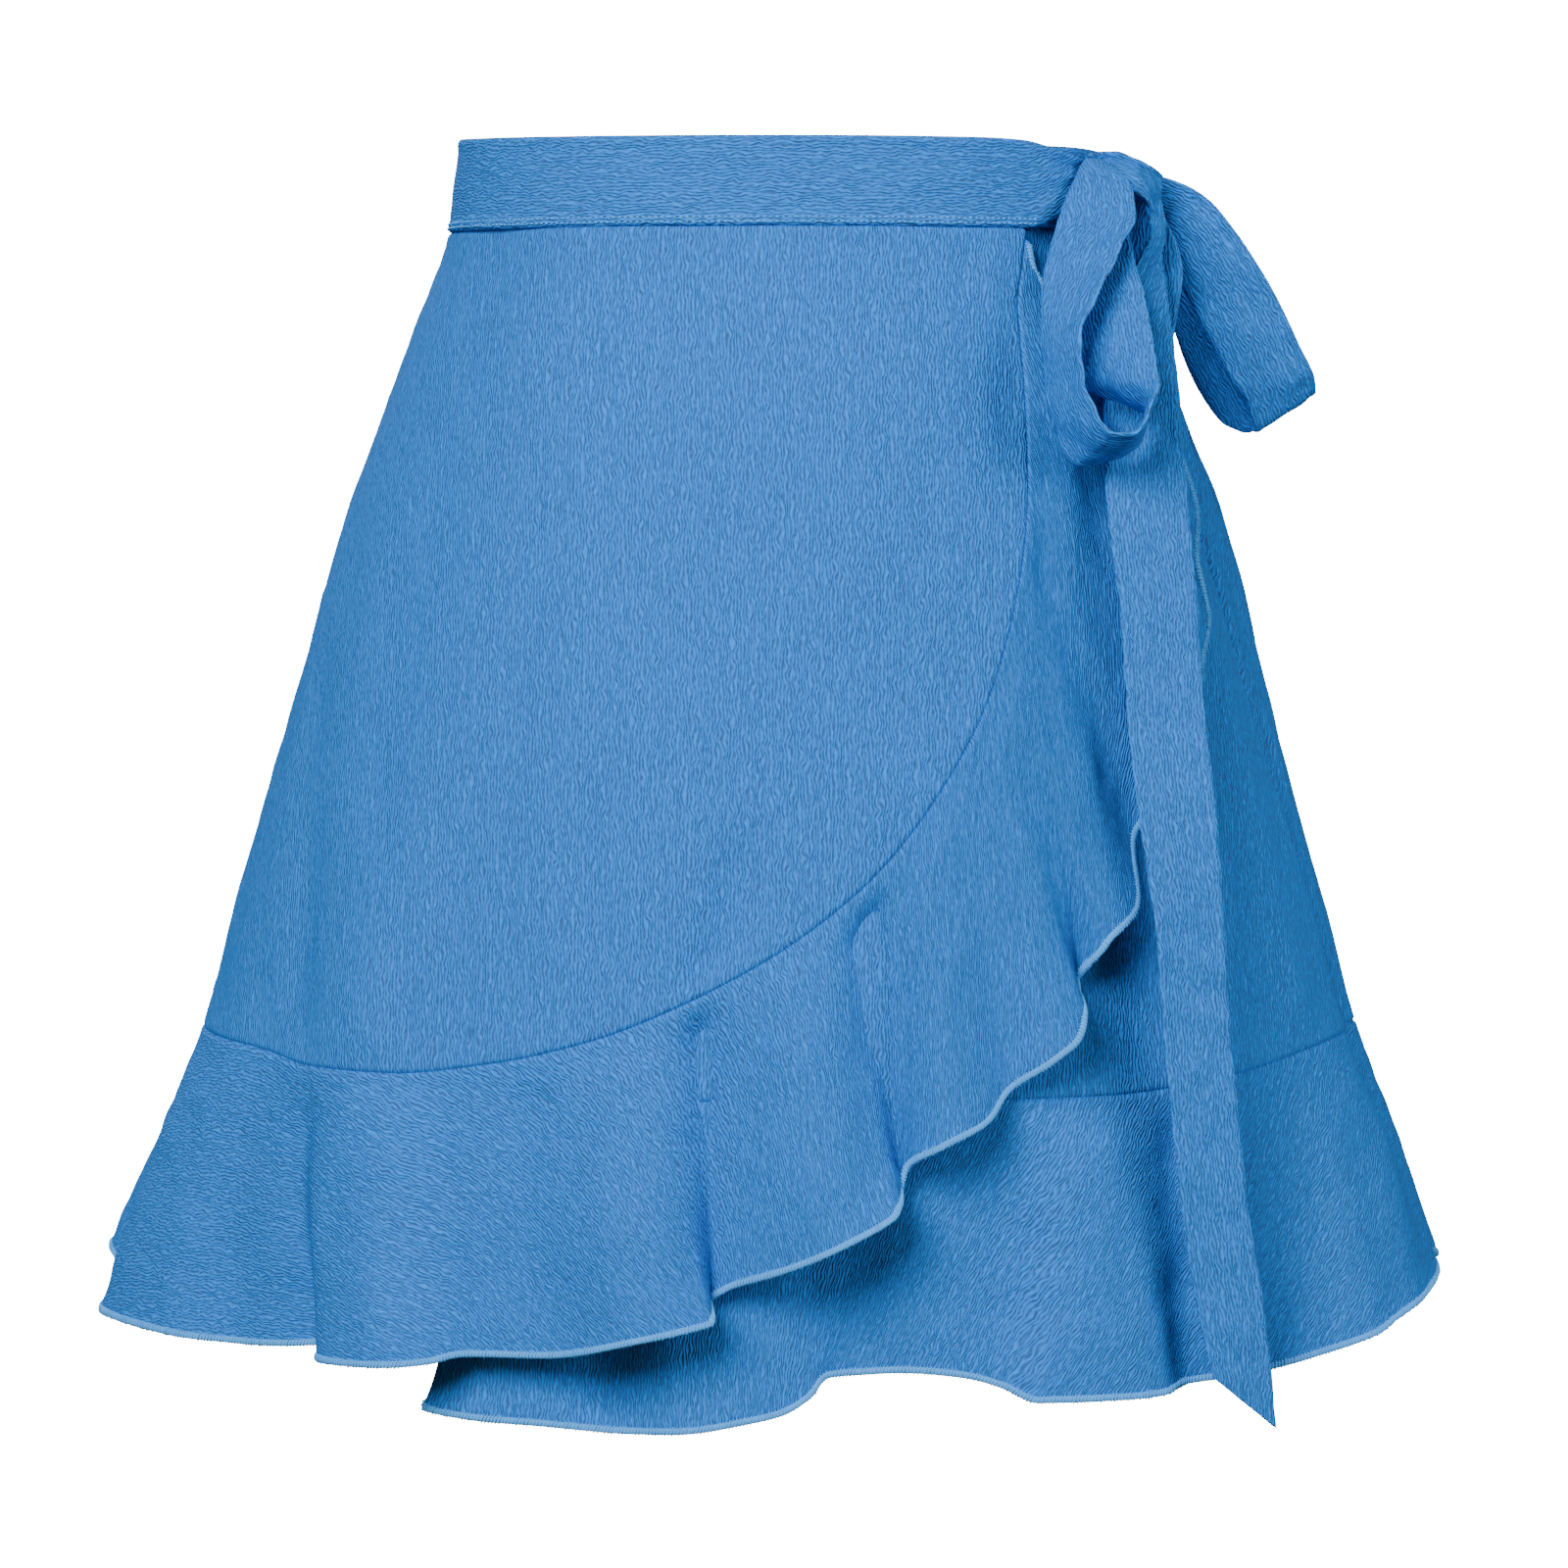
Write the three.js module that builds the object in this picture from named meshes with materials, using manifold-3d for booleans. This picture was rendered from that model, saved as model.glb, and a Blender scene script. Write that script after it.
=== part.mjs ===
// Ruffled wrap mini skirt, worn and hollow, tied in a bow at its right as seen from the
// front. It is sewn from three panels, three ruffles, a waistband in three lengths and two ties.
// Millimetres, +Z up, the front faces -Y. The origin is the centre of the waist ring,
// half-way up the waistband. Angles are in degrees round the body: 0 is the middle of
// the front, +90 the bow's side, 180 the back and -90 (270) the far side.
import * as THREE from 'three';
import { mergeVertices } from 'three/addons/utils/BufferGeometryUtils.js';
import Module from 'manifold-3d';

// Driving sizes
const CLOTH = 1.6;              // wall of a single layer of crinkle crepe
const DOUBLE_CLOTH = 2.2;       // wall of the folded band and ties
const SEAM_GAP = 0.3;           // space between two sewn pieces
const WAIST_SEAM = -16;         // height of the seam below the waistband
const WRAP_LAYER = 4;           // the outer layer of the wrap stands this far off the inner
const SIDE = 90;                // the side seams
const UNDERLAP_EDGE = -32;      // free edge of the under layer, hidden in front
const LAYER_FROM = -60;         // the outer layer starts to stand off here, over the next turns
const LAYER_TURNS = 26;
const COVERED_TO = 16;          // the wrap hides the under ruffle up to here, then less and less
const COVERED_TURNS = 14;
const BAND_END = 69;            // the outer band enters the knot
const TIE_SEWN = 86;            // the second tie is sewn on here, and enters the knot
const TIE_ROOT_END = 74.2;
const FLARE_EASE = 1.4;         // how late a ruffle's waves grow on the way to its hem
const TUCK_EASE = 2.2;          // how soon the covered ruffle falls inwards
const PANEL_STEPS = 7;
const RUFFLE_STEPS = 7;
const BAND_STEPS = 2;
const STRIP_STEPS = 3;
const SEAM_SAMPLES = 400;

const fabric = { roughness: 0.85, metalness: 0 };
const clothBlue = new THREE.MeshStandardMaterial({ color: 0x5494cc, ...fabric });
const bandBlue = new THREE.MeshStandardMaterial({ color: 0x5a98ce, ...fabric });
const ruffleBlue = new THREE.MeshStandardMaterial({ color: 0x4c88be, ...fabric });
const tieBlue = new THREE.MeshStandardMaterial({ color: 0x5a9acf, ...fabric });
for (const material of [clothBlue, bandBlue, ruffleBlue, tieBlue]) {
  material.side = THREE.DoubleSide;
}

const table = (names, rows) => rows.map(
  (row) => Object.fromEntries(names.map((name, column) => [name, row[column]])));

// Sections of the worn skirt: half width, and depth of its front and back halves
const BODY = table(['height', 'half', 'front', 'back'], [
  [-440, 250, 171, 183],
  [-375, 234, 160, 172],
  [-341, 223.5, 154, 166],
  [-298, 206.5, 146, 158],
  [-254, 194.5, 139.5, 152],
  [-212, 182.5, 133, 146],
  [-170, 170, 126, 140],
  [-128, 158, 118, 133],
  [-86, 143.5, 109.5, 122],
  [-54, 132, 101, 110],
  [-12, 117, 90, 92],
  [24, 113.5, 86, 87],
]);

// The curved edge of the outer front panel, from the waist at the bow to the far side seam
const WRAP_SEAM = table(['turn', 'height'], [
  [44.6, -16],
  [41.5, -29],
  [38.4, -43],
  [36, -72],
  [33.2, -106],
  [29.4, -139],
  [23.9, -175],
  [17, -207],
  [9.1, -236],
  [0.3, -259],
  [-9, -277],
  [-18, -290],
  [-28, -298.5],
  [-39, -303],
  [-50, -303],
  [-66, -299],
  [-90, -297],
]);

// The level seam of the other ruffles, round the bow's side and the back
const LEVEL_SEAM = table(['turn', 'height'], [
  [-32, -310],
  [30, -310],
  [50, -305],
  [74, -297],
  [90, -296],
  [180, -298],
  [270, -297],
]);

// Free edge of the outer ruffle. run is how far along the wrap seam its cloth hangs
// from, and out is how far the wave stands off the body there.
const OUTER_HEM = table(['run', 'turn', 'height', 'out'], [
  [4, 44.4, -22, 4.5],
  [10, 43.9, -33, 5],
  [20, 48.4, -49, 8],
  [32, 56.2, -70, 9],
  [44, 66.5, -91, 6],
  [53, 65.4, -109, 7],
  [62, 59.4, -132, 9],
  [71, 60.6, -148, 7],
  [80, 55.6, -164, 9],
  [88, 53.3, -174, 10],
  [99, 47, -203, 7],
  [110, 38.7, -225, 9],
  [126, 36.4, -246, 14],
  [140, 31.8, -258, 16],
  [151, 29.6, -270, 6],
  [158, 29, -275, 9],
  [168, 28.6, -282, 16],
  [175, 27.6, -289, 17],
  [184, 24.7, -297, 15],
  [194, 20.8, -307, 6],
  [204, 18.2, -316, 10],
  [216, 13.9, -323, 16],
  [227, 11, -331, 6],
  [234, 10.4, -338, 4],
  [243, 9.5, -345, 17],
  [260, 4.9, -355, 20],
  [280, 0.2, -364, 13],
  [297, -4.3, -371, 3],
  [305, -5.9, -376, 1],
  [314, -5.2, -380, 17],
  [340, -10.9, -386, 21],
  [368, -18.3, -393, 10],
  [396, -25.7, -394, 8],
  [410, -28, -396, 14],
  [424, -31, -397, 19],
  [446, -38.4, -398, 13],
  [457, -41.2, -396, -6],
  [482, -51, -398, -5],
  [510, -61, -397, 4],
  [536, -76, -396, 6],
  [562, -90, -396, -4],
]);

// Free edge of the under ruffle, from the bow's side seam to its end under the wrap
const UNDER_HEM = table(['seam', 'turn', 'height', 'out'], [
  [90, 90, -380, -5],
  [82, 77, -383, 1],
  [72, 63, -389, 7],
  [65, 55.8, -395, 7],
  [58, 49.6, -400, 2],
  [51, 43, -405, -5],
  [46, 37.8, -406, -5],
  [43, 35.3, -407, -6],
  [39, 31.5, -409, 1],
  [34, 26, -409, 4],
  [28, 20.5, -409, 2],
  [25, 18, -405, -7],
  [21, 15.3, -402, -10],
  [15, 10, -400, -12],
  [7, 4, -402, -14],
  [4, 2.5, -408, -12],
  [1, 0.2, -413, -8],
  [-4, -3, -416, -7],
  [-9, -7.5, -419, -6],
  [-15, -13, -420, -11],
  [-21, -19.5, -418, -9],
  [-26, -25, -417, -8],
  [-30, -30.7, -415, -13],
  [-31, -30, -413, -17],
  [-32, -26.5, -411, -19],
]);

// Free edge of the back ruffle, from the bow's side seam round to the far one
const BACK_HEM = table(['seam', 'turn', 'height', 'out'], [
  [90, 90, -380, -5],
  [97, 97, -384, 3],
  [106, 106, -388, -6],
  [116, 117, -391, 12],
  [127, 127, -394, 0],
  [138, 137, -396, 14],
  [150, 150, -398, -5],
  [160, 161, -400, 12],
  [170, 170, -401, 2],
  [182, 181, -402, 15],
  [194, 193, -401, -5],
  [204, 204, -400, 11],
  [214, 214, -399, 1],
  [225, 226, -397, 13],
  [237, 238, -394, -6],
  [246, 248, -389, 8],
  [254, 255, -384, 1],
  [261, 262, -380, 10],
  [270, 270, -388, -4],
]);

// Soft folds of the panels: each runs down from its top, deepening to its depth
const FOLDS = table(['turn', 'lean', 'width', 'top', 'bottom', 'depth'], [
  [-41, -3, 6, -150, -300, 3.5],
  [-56, -4, 6, -170, -300, -2.5],
  [-6, -1, 3.5, -225, -285, -3],
  [79, 2, 4, -50, -150, -7],
  [92, 0, 7, -50, -120, 3],
  [92, 0, 7, -130, -220, -4],
  [60, -2, 7, -150, -300, -2],
  [-20, 2, 9, -60, -270, 1.5],
  [112, 2, 7, -120, -300, -3],
  [138, 1, 8, -150, -300, 3],
  [150, 0, 6, -170, -300, -3],
  [181, 0, 10, -150, -300, 3],
  [196, -1, 7, -130, -300, -3],
  [226, -2, 8, -150, -300, 3],
  [241, -2, 6, -120, -300, -3],
]);

// Upper and lower edge of the waistband; it narrows into the knot
const OUTER_BAND = table(['turn', 'low', 'high', 'out'], [
  [-90, -16, 17, 0],
  [-60, -16, 16, 2.5],
  [-34, -16, 15.3, 4],
  [0, -16, 15, 4],
  [36, -16, 15, 4],
  [45, -16, 14.5, 4.3],
  [52, -12, 12, 5.5],
  [58, -6, 9.5, 6],
  [64, -1, 7.5, 7],
  [69, 1, 6.5, 8],
]);
const LEVEL_BAND = table(['turn', 'low', 'high', 'out'], [
  [-32, -16, 13, 0],
  [60, -16, 13, 0],
  [90, -16, 12, 0],
  [110, -16, 14.5, 0],
  [180, -16, 17, 0],
  [270, -16, 17, 0],
]);
// The second tie, sewn on at the bow's side seam
const TIE_ROOT = table(['turn', 'low', 'high', 'out'], [
  [86, -9, 9, 3.5],
  [81, -7, 9, 4.5],
  [77, -4, 8, 7],
  [73, -1, 6, 10],
]);

// The ties. Each row is a place along a strip, with its two edges.
const EDGES = ['nearX', 'nearY', 'nearZ', 'farX', 'farY', 'farZ'];
const FRONT_LOOP = table(EDGES, [
  [121, -40, 1, 117, -38, 7],
  [116, -52, 5, 106, -49, 8],
  [121, -62, -1, 101, -56, 0],
  [122, -74, -12, 96, -67, -12],
  [117, -86, -22, 92, -77, -23],
  [109, -100, -38, 89, -86, -37],
  [101, -112, -54, 89, -92, -54],
  [102, -119, -69, 90, -97, -71],
  [106, -124, -79, 93, -103, -86],
  [112, -126, -86, 101, -106, -97],
  [118, -126, -86, 111, -106, -96],
  [122, -124, -82, 121, -102, -91],
  [125, -119, -75, 124, -97, -81],
  [127, -115, -70, 114, -96, -76],
  [127, -110, -65, 102, -97, -69],
  [126, -102, -54, 100, -92, -56],
  [124, -88, -39, 97, -83, -39],
  [121, -77, -26, 95, -72, -25],
  [120, -64, -16, 98, -60, -14],
  [120, -44, -4, 114, -41, -1],
]);
const SIDE_LOOP = table(EDGES, [
  [126, -35, 4, 126, -34, -1],
  [140, -31, 1, 134, -26, -12],
  [151, -30, -6, 136, -26, -25],
  [160, -30, -17, 140, -26, -34],
  [173, -28, -37, 149, -26, -51],
  [182, -25, -55, 158, -25, -67],
  [188, -21, -67, 164, -22, -76],
  [189, -16, -72, 167, -17, -86],
  [188, -9, -71, 165, -12, -86],
  [180, -5, -61, 158, -5, -84],
  [170, -3, -45, 148, -2, -71],
  [159, -5, -27, 141, -3, -55],
  [149, -10, -14, 136, -9, -37],
  [140, -20, -6, 134, -19, -20],
  [128, -31, 2, 127, -30, -2],
]);
const FRONT_TAIL = table(EDGES, [
  [125, -38, 1, 131, -35, 2],
  [127, -46, -8, 133, -40, -8],
  [128, -52, -17, 133, -45, -17],
  [124, -60, -26, 132, -52, -25],
  [119, -66, -34, 133, -58, -33],
  [113, -72, -45, 134, -64, -45],
  [110, -80, -62, 136, -72, -61],
  [110, -90, -82, 137, -82, -81],
  [110, -98, -97, 138, -90, -96],
  [112, -106, -125, 140, -98, -124],
  [115, -112, -150, 142, -104, -150],
  [117, -120, -184, 144, -112, -184],
  [120, -129, -214, 147, -121, -214],
  [125, -135, -248, 149, -127, -247],
  [128, -138, -283, 151, -130, -283],
  [131, -140, -315, 154, -133, -316],
  [135, -142, -352, 158, -135, -352],
  [140, -144, -380, 163, -137, -381],
  [145, -145, -403, 167, -138, -421],
]);
const BACK_TAIL = table(EDGES, [
  [124, -34, 0, 129, -34, 0],
  [122, -33, -8, 134, -36, -11],
  [121, -34, -19, 139, -39, -23],
  [121, -41, -33, 140, -44, -31],
  [118, -58, -50, 137, -52, -49],
  [114, -75, -66, 134, -67, -65],
  [111, -86, -82, 136, -78, -81],
  [112, -94, -97, 137, -86, -96],
  [114, -102, -125, 139, -94, -124],
  [116, -108, -150, 141, -100, -150],
  [118, -116, -184, 143, -108, -184],
  [121, -124, -214, 146, -116, -214],
  [127, -130, -249, 148, -122, -248],
  [130, -134, -283, 150, -126, -283],
  [133, -136, -309, 153, -128, -323],
]);
const KNOT = { x: 122, y: -37, z: 2, half: [10, 9, 8.5], tilt: 25 };

const clamp = (value) => Math.min(1, Math.max(0, value));
const mix = (from, to, share) => from + (to - from) * share;
const radians = THREE.MathUtils.degToRad;
const softStep = (value) => clamp(value) ** 2 * (3 - 2 * clamp(value));

// A smooth curve through a table's column that never overshoots its rows
function smooth(rows, key, column, at) {
  const way = Math.sign(rows[rows.length - 1][key] - rows[0][key]);
  let left = 0;
  while (left < rows.length - 2 && (at - rows[left + 1][key]) * way > 0) {
    left += 1;
  }
  const slope = (index) => (rows[index + 1][column] - rows[index][column])
    / (rows[index + 1][key] - rows[index][key]);
  const tangent = (index) => {
    if (index === 0 || index === rows.length - 1) {
      return 0;
    }
    const before = slope(index - 1);
    const after = slope(index);
    return before * after > 0 ? 2 * before * after / (before + after) : 0;
  };
  const span = rows[left + 1][key] - rows[left][key];
  const share = clamp((at - rows[left][key]) / span);
  const square = share * share;
  const cube = square * share;
  return rows[left][column] * (2 * cube - 3 * square + 1)
    + tangent(left) * span * (cube - 2 * square + share)
    + rows[left + 1][column] * (3 * square - 2 * cube)
    + tangent(left + 1) * span * (cube - square);
}

// A point of the worn form, moved outwards by out
function form(turn, height, out) {
  const angle = radians(turn);
  const half = smooth(BODY, 'height', 'half', height);
  const depth = smooth(BODY, 'height', Math.cos(angle) > 0 ? 'front' : 'back', height);
  const normal = new THREE.Vector2(Math.sin(angle) / half, -Math.cos(angle) / depth).normalize();
  return new THREE.Vector3(
    half * Math.sin(angle) + normal.x * out, -depth * Math.cos(angle) + normal.y * out, height);
}

function formNormal(turn, height) {
  const step = 1;
  const round = form(turn + step, height, 0).sub(form(turn - step, height, 0));
  const rise = form(turn, height + step, 0).sub(form(turn, height - step, 0));
  return round.cross(rise).normalize();
}

const levelNormal = (turn) => formNormal(turn, WAIST_SEAM).setZ(0).normalize();
const sidewards = () => new THREE.Vector3(1, 0, 0);
// The end of a piece faces sideways at a side seam, and along the form elsewhere
const fromSide = (turn) => Math.min(...[-SIDE, SIDE, 3 * SIDE].map((side) => Math.abs(turn - side)));
const endFacing = (turnAt) => (u) => (fromSide(turnAt(u)) < 1
  ? sidewards() : levelNormal(turnAt(u)));

// Soft folds and, on the outer layer, the room that the under layer takes
function foldOut(turn, height) {
  let out = 0;
  for (const fold of FOLDS) {
    const way = (fold.top - height) / (fold.top - fold.bottom);
    const distance = (turn - fold.turn - fold.lean * clamp(way)) / fold.width;
    out += fold.depth * softStep(way) * Math.exp(-distance * distance);
  }
  return out;
}
const wrapLayer = (turn) => WRAP_LAYER * softStep((turn - LAYER_FROM) / LAYER_TURNS);
const outerOut = (turn, height) => wrapLayer(turn) + foldOut(turn, height);

// A closed wall of one thickness on a grid of middle points. point(u, v) gives them,
// u and v from 0 to 1. facing fixes the way a sewn edge faces, so that both its sides
// agree: first and last at v = 0 and v = 1, side where u is at an end.
function wall(point, across, along, thickness, facing = {}) {
  const grid = [];
  for (let i = 0; i <= across; i += 1) {
    grid.push([]);
    for (let j = 0; j <= along; j += 1) {
      grid[i].push(point(i / across, j / along));
    }
  }
  const at = (i, j) => grid[Math.min(across, Math.max(0, i))][Math.min(along, Math.max(0, j))];
  const sides = [[], []];
  for (let i = 0; i <= across; i += 1) {
    for (let j = 0; j <= along; j += 1) {
      const overU = at(i + 1, j).clone().sub(at(i - 1, j));
      const overV = at(i, j + 1).clone().sub(at(i, j - 1));
      const normal = overU.cross(overV).normalize();
      const edges = [[j === 0, 'first'], [j === along, 'last'], [i % across === 0, 'side']];
      for (const [onEdge, name] of edges) {
        if (onEdge && facing[name]) {
          const fixed = facing[name](i / across);
          const sameWay = Math.sign(fixed.dot(normal));
          normal.copy(fixed).multiplyScalar(sameWay);
        }
      }
      sides[0].push(at(i, j).clone().addScaledVector(normal, thickness / 2));
      sides[1].push(at(i, j).clone().addScaledVector(normal, -thickness / 2));
    }
  }
  const count = sides[0].length;
  const outer = (i, j) => i * (along + 1) + j;
  const inner = (i, j) => count + outer(i, j);
  const faces = [];
  const quad = (a, b, c, d) => faces.push(a, b, c, a, c, d);
  for (let i = 0; i < across; i += 1) {
    quad(outer(i, along), outer(i + 1, along), inner(i + 1, along), inner(i, along));
    quad(outer(i + 1, 0), outer(i, 0), inner(i, 0), inner(i + 1, 0));
  }
  for (let j = 0; j < along; j += 1) {
    quad(outer(0, j), outer(0, j + 1), inner(0, j + 1), inner(0, j));
    quad(outer(across, j + 1), outer(across, j), inner(across, j), inner(across, j + 1));
  }
  for (let i = 0; i < across; i += 1) {
    for (let j = 0; j < along; j += 1) {
      quad(outer(i, j), outer(i + 1, j), outer(i + 1, j + 1), outer(i, j + 1));
      quad(inner(i, j), inner(i, j + 1), inner(i + 1, j + 1), inner(i + 1, j));
    }
  }
  return facingOut(sides.flat(), faces);
}

function facingOut(points, faces) {
  let volume = 0;
  for (let k = 0; k < faces.length; k += 3) {
    const [a, b, c] = [points[faces[k]], points[faces[k + 1]], points[faces[k + 2]]];
    volume += a.dot(b.clone().cross(c));
  }
  if (volume < 0) {
    for (let k = 0; k < faces.length; k += 3) {
      [faces[k + 1], faces[k + 2]] = [faces[k + 2], faces[k + 1]];
    }
  }
  const geometry = new THREE.BufferGeometry();
  geometry.setAttribute('position',
    new THREE.Float32BufferAttribute(points.flatMap((p) => p.toArray()), 3));
  geometry.setIndex(faces);
  return geometry;
}

// Equal steps through a table's rows, with every column smoothed over the row number
function pathThrough(rows) {
  const numbered = rows.map((row, index) => ({ ...row, row: index }));
  return (share) => {
    const at = share * (rows.length - 1);
    return Object.fromEntries(Object.keys(rows[0]).map(
      (column) => [column, smooth(numbered, 'row', column, at)]));
  };
}

// The wrap seam by its length from the waist, with a side step across it
const seamPath = pathThrough(WRAP_SEAM);
const seamRuler = [{ share: 0, length: 0 }];
for (let k = 1; k <= SEAM_SAMPLES; k += 1) {
  const here = seamPath(k / SEAM_SAMPLES);
  const last = seamPath((k - 1) / SEAM_SAMPLES);
  const step = form(here.turn, here.height, WRAP_LAYER)
    .distanceTo(form(last.turn, last.height, WRAP_LAYER));
  seamRuler.push({ share: k / SEAM_SAMPLES, length: seamRuler[k - 1].length + step });
}
const WRAP_LENGTH = seamRuler[SEAM_SAMPLES].length;

function wrapSeam(length, sideStep) {
  const run = Math.min(length, WRAP_LENGTH);
  const share = smooth(seamRuler, 'length', 'share', run);
  const nearby = 0.004;
  const here = seamPath(share);
  const before = seamPath(clamp(share - nearby));
  const after = seamPath(clamp(share + nearby));
  const radius = form(here.turn, here.height, 0).setZ(0).length();
  const round = radians(after.turn - before.turn) * radius;
  const rise = after.height - before.height;
  const size = Math.hypot(round, rise);
  return {
    turn: here.turn - THREE.MathUtils.radToDeg(sideStep * rise / size / radius),
    height: here.height + sideStep * round / size,
  };
}

const outerHem = pathThrough(OUTER_HEM);
const OUTER_COLUMNS = 2 * (OUTER_HEM.length - 1);
const wrapEnd = OUTER_HEM[OUTER_HEM.length - 1];
const runOf = (row) => row.run / wrapEnd.run * WRAP_LENGTH;
const seamNormal = (seam) => formNormal(seam.turn, seam.height);

function outerPanel() {
  const seamAt = (u) => wrapSeam(runOf(outerHem(u)), -SEAM_GAP / 2);
  const point = (u, v) => {
    const seam = seamAt(u);
    const turn = Math.max(seam.turn, SEAM_GAP / 4 - SIDE);
    const height = mix(WAIST_SEAM - SEAM_GAP, seam.height, v);
    return form(turn, height, outerOut(turn, height));
  };
  return wall(point, OUTER_COLUMNS, PANEL_STEPS, CLOTH, {
    first: (u) => levelNormal(seamAt(u).turn),
    last: (u) => seamNormal(seamAt(u)),
    side: endFacing((u) => seamAt(u).turn),
  });
}

function outerRuffle() {
  const seamAt = (u) => wrapSeam(runOf(outerHem(u)), SEAM_GAP / 2);
  const point = (u, v) => {
    const seam = seamAt(u);
    const hem = outerHem(u);
    const turn = Math.max(mix(seam.turn, hem.turn, v), SEAM_GAP / 4 - SIDE);
    const out = mix(outerOut(seam.turn, seam.height), hem.out, v ** FLARE_EASE);
    return form(turn, mix(seam.height, hem.height, v), out);
  };
  return wall(point, OUTER_COLUMNS, RUFFLE_STEPS, CLOTH, {
    first: (u) => seamNormal(seamAt(u)),
    side: endFacing((u) => seamAt(u).turn),
  });
}

// A panel between the waistband and the level seam
function levelPanel(from, to, columns) {
  const turnAt = (u) => mix(from, to, u);
  const bottom = (turn) => smooth(LEVEL_SEAM, 'turn', 'height', turn) + SEAM_GAP / 2;
  const point = (u, v) => {
    const turn = turnAt(u);
    const height = mix(WAIST_SEAM - SEAM_GAP, bottom(turn), v);
    return form(turn, height, foldOut(turn, height));
  };
  return wall(point, columns, PANEL_STEPS, CLOTH, {
    first: (u) => levelNormal(turnAt(u)),
    last: (u) => levelNormal(turnAt(u)),
    side: endFacing(turnAt),
  });
}

// A ruffle below the level seam. ease shapes how its waves grow on the way down.
function levelRuffle(rows, ease) {
  const hemAt = pathThrough(rows);
  const inset = SEAM_GAP / 4 * Math.sign(rows[1].seam - rows[0].seam);
  const ends = [rows[0].seam + inset, rows[rows.length - 1].seam - inset];
  const inside = (turn) => Math.min(Math.max(turn, Math.min(...ends)), Math.max(...ends));
  const seamAt = (u) => {
    const turn = inside(hemAt(u).seam);
    return { turn, height: smooth(LEVEL_SEAM, 'turn', 'height', turn) - SEAM_GAP / 2 };
  };
  const point = (u, v) => {
    const seam = seamAt(u);
    const hem = hemAt(u);
    const out = mix(foldOut(seam.turn, seam.height), hem.out, ease(v, hem));
    const turn = mix(seam.turn, hem.turn, v);
    return form(rows === UNDER_HEM ? Math.min(turn, ends[0]) : inside(turn),
      mix(seam.height, hem.height, v), out);
  };
  return wall(point, 2 * (rows.length - 1), RUFFLE_STEPS, CLOTH, {
    first: (u) => levelNormal(seamAt(u).turn),
    side: endFacing((u) => seamAt(u).turn),
  });
}

// The part of the under ruffle that the wrap covers falls inwards at once
function underEase(share, hem) {
  const covered = 1 - softStep((hem.seam - COVERED_TO) / COVERED_TURNS);
  return mix(share ** FLARE_EASE, 1 - (1 - share) ** TUCK_EASE, covered);
}

function bandPiece(rows, from, to, columns) {
  const turnAt = (u) => mix(from, to, u);
  const point = (u, v) => {
    const turn = turnAt(u);
    const value = (column) => smooth(rows, 'turn', column, turn);
    return form(turn, mix(value('low'), value('high'), v), value('out'));
  };
  return wall(point, columns, BAND_STEPS, DOUBLE_CLOTH, {
    first: (u) => levelNormal(turnAt(u)),
    side: endFacing(turnAt),
  });
}

// A folded strip of cloth between its two edges
function strip(rows, stepsPerRow) {
  const at = pathThrough(rows);
  const point = (u, v) => {
    const row = at(u);
    return new THREE.Vector3(row.nearX, row.nearY, row.nearZ)
      .lerp(new THREE.Vector3(row.farX, row.farY, row.farZ), v);
  };
  return wall(point, stepsPerRow * (rows.length - 1), STRIP_STEPS, DOUBLE_CLOTH);
}

const wasm = await Module();
wasm.setup();

function toSolid(geometry) {
  const merged = mergeVertices(geometry, 1e-4);
  return new wasm.Manifold(new wasm.Mesh({
    numProp: 3,
    vertProperties: new Float32Array(merged.attributes.position.array),
    triVerts: new Uint32Array(merged.index.array),
  }));
}

function toGeometry(solid) {
  const mesh = solid.getMesh();
  const geometry = new THREE.BufferGeometry();
  geometry.setAttribute('position', new THREE.BufferAttribute(mesh.vertProperties, 3));
  geometry.setIndex(new THREE.BufferAttribute(mesh.triVerts, 1));
  return geometry;
}

function knotBall(room) {
  const ball = new THREE.SphereGeometry(1, 20, 12);
  ball.deleteAttribute('normal');
  ball.deleteAttribute('uv');
  ball.scale(...KNOT.half.map((half) => half + room));
  ball.rotateY(radians(KNOT.tilt));
  ball.translate(KNOT.x, KNOT.y, KNOT.z);
  return ball;
}

// What lies outside the knot, in one piece: a strip starts at the knot's face
function cutAtKnot(geometry) {
  const pieces = toSolid(geometry).subtract(toSolid(knotBall(SEAM_GAP))).decompose();
  pieces.sort((a, b) => b.volume() - a.volume());
  return toGeometry(pieces[0]);
}

const group = new THREE.Group();
function add(name, geometry, material) {
  const mesh = new THREE.Mesh(geometry, material);
  mesh.name = name;
  group.add(mesh);
}

const growing = (share) => share ** FLARE_EASE;
const inFrom = SEAM_GAP / 4;
add('waistband_outer', cutAtKnot(bandPiece(OUTER_BAND, -SIDE + inFrom, BAND_END, 44)), bandBlue);
add('waistband_under', bandPiece(LEVEL_BAND, UNDERLAP_EDGE, SIDE - inFrom, 26), bandBlue);
add('waistband_back', bandPiece(LEVEL_BAND, SIDE + inFrom, 3 * SIDE - inFrom, 34), bandBlue);
add('panel_outer', outerPanel(), clothBlue);
add('panel_under', levelPanel(UNDERLAP_EDGE, SIDE - inFrom, 44), clothBlue);
add('panel_back', levelPanel(SIDE + inFrom, 3 * SIDE - inFrom, 34), clothBlue);
add('ruffle_outer', outerRuffle(), ruffleBlue);
add('ruffle_under', levelRuffle(UNDER_HEM, underEase), ruffleBlue);
add('ruffle_back', levelRuffle(BACK_HEM, growing), ruffleBlue);
add('knot', toGeometry(toSolid(knotBall(0))), tieBlue);
add('loop_front', cutAtKnot(strip(FRONT_LOOP, 2)), tieBlue);
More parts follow.
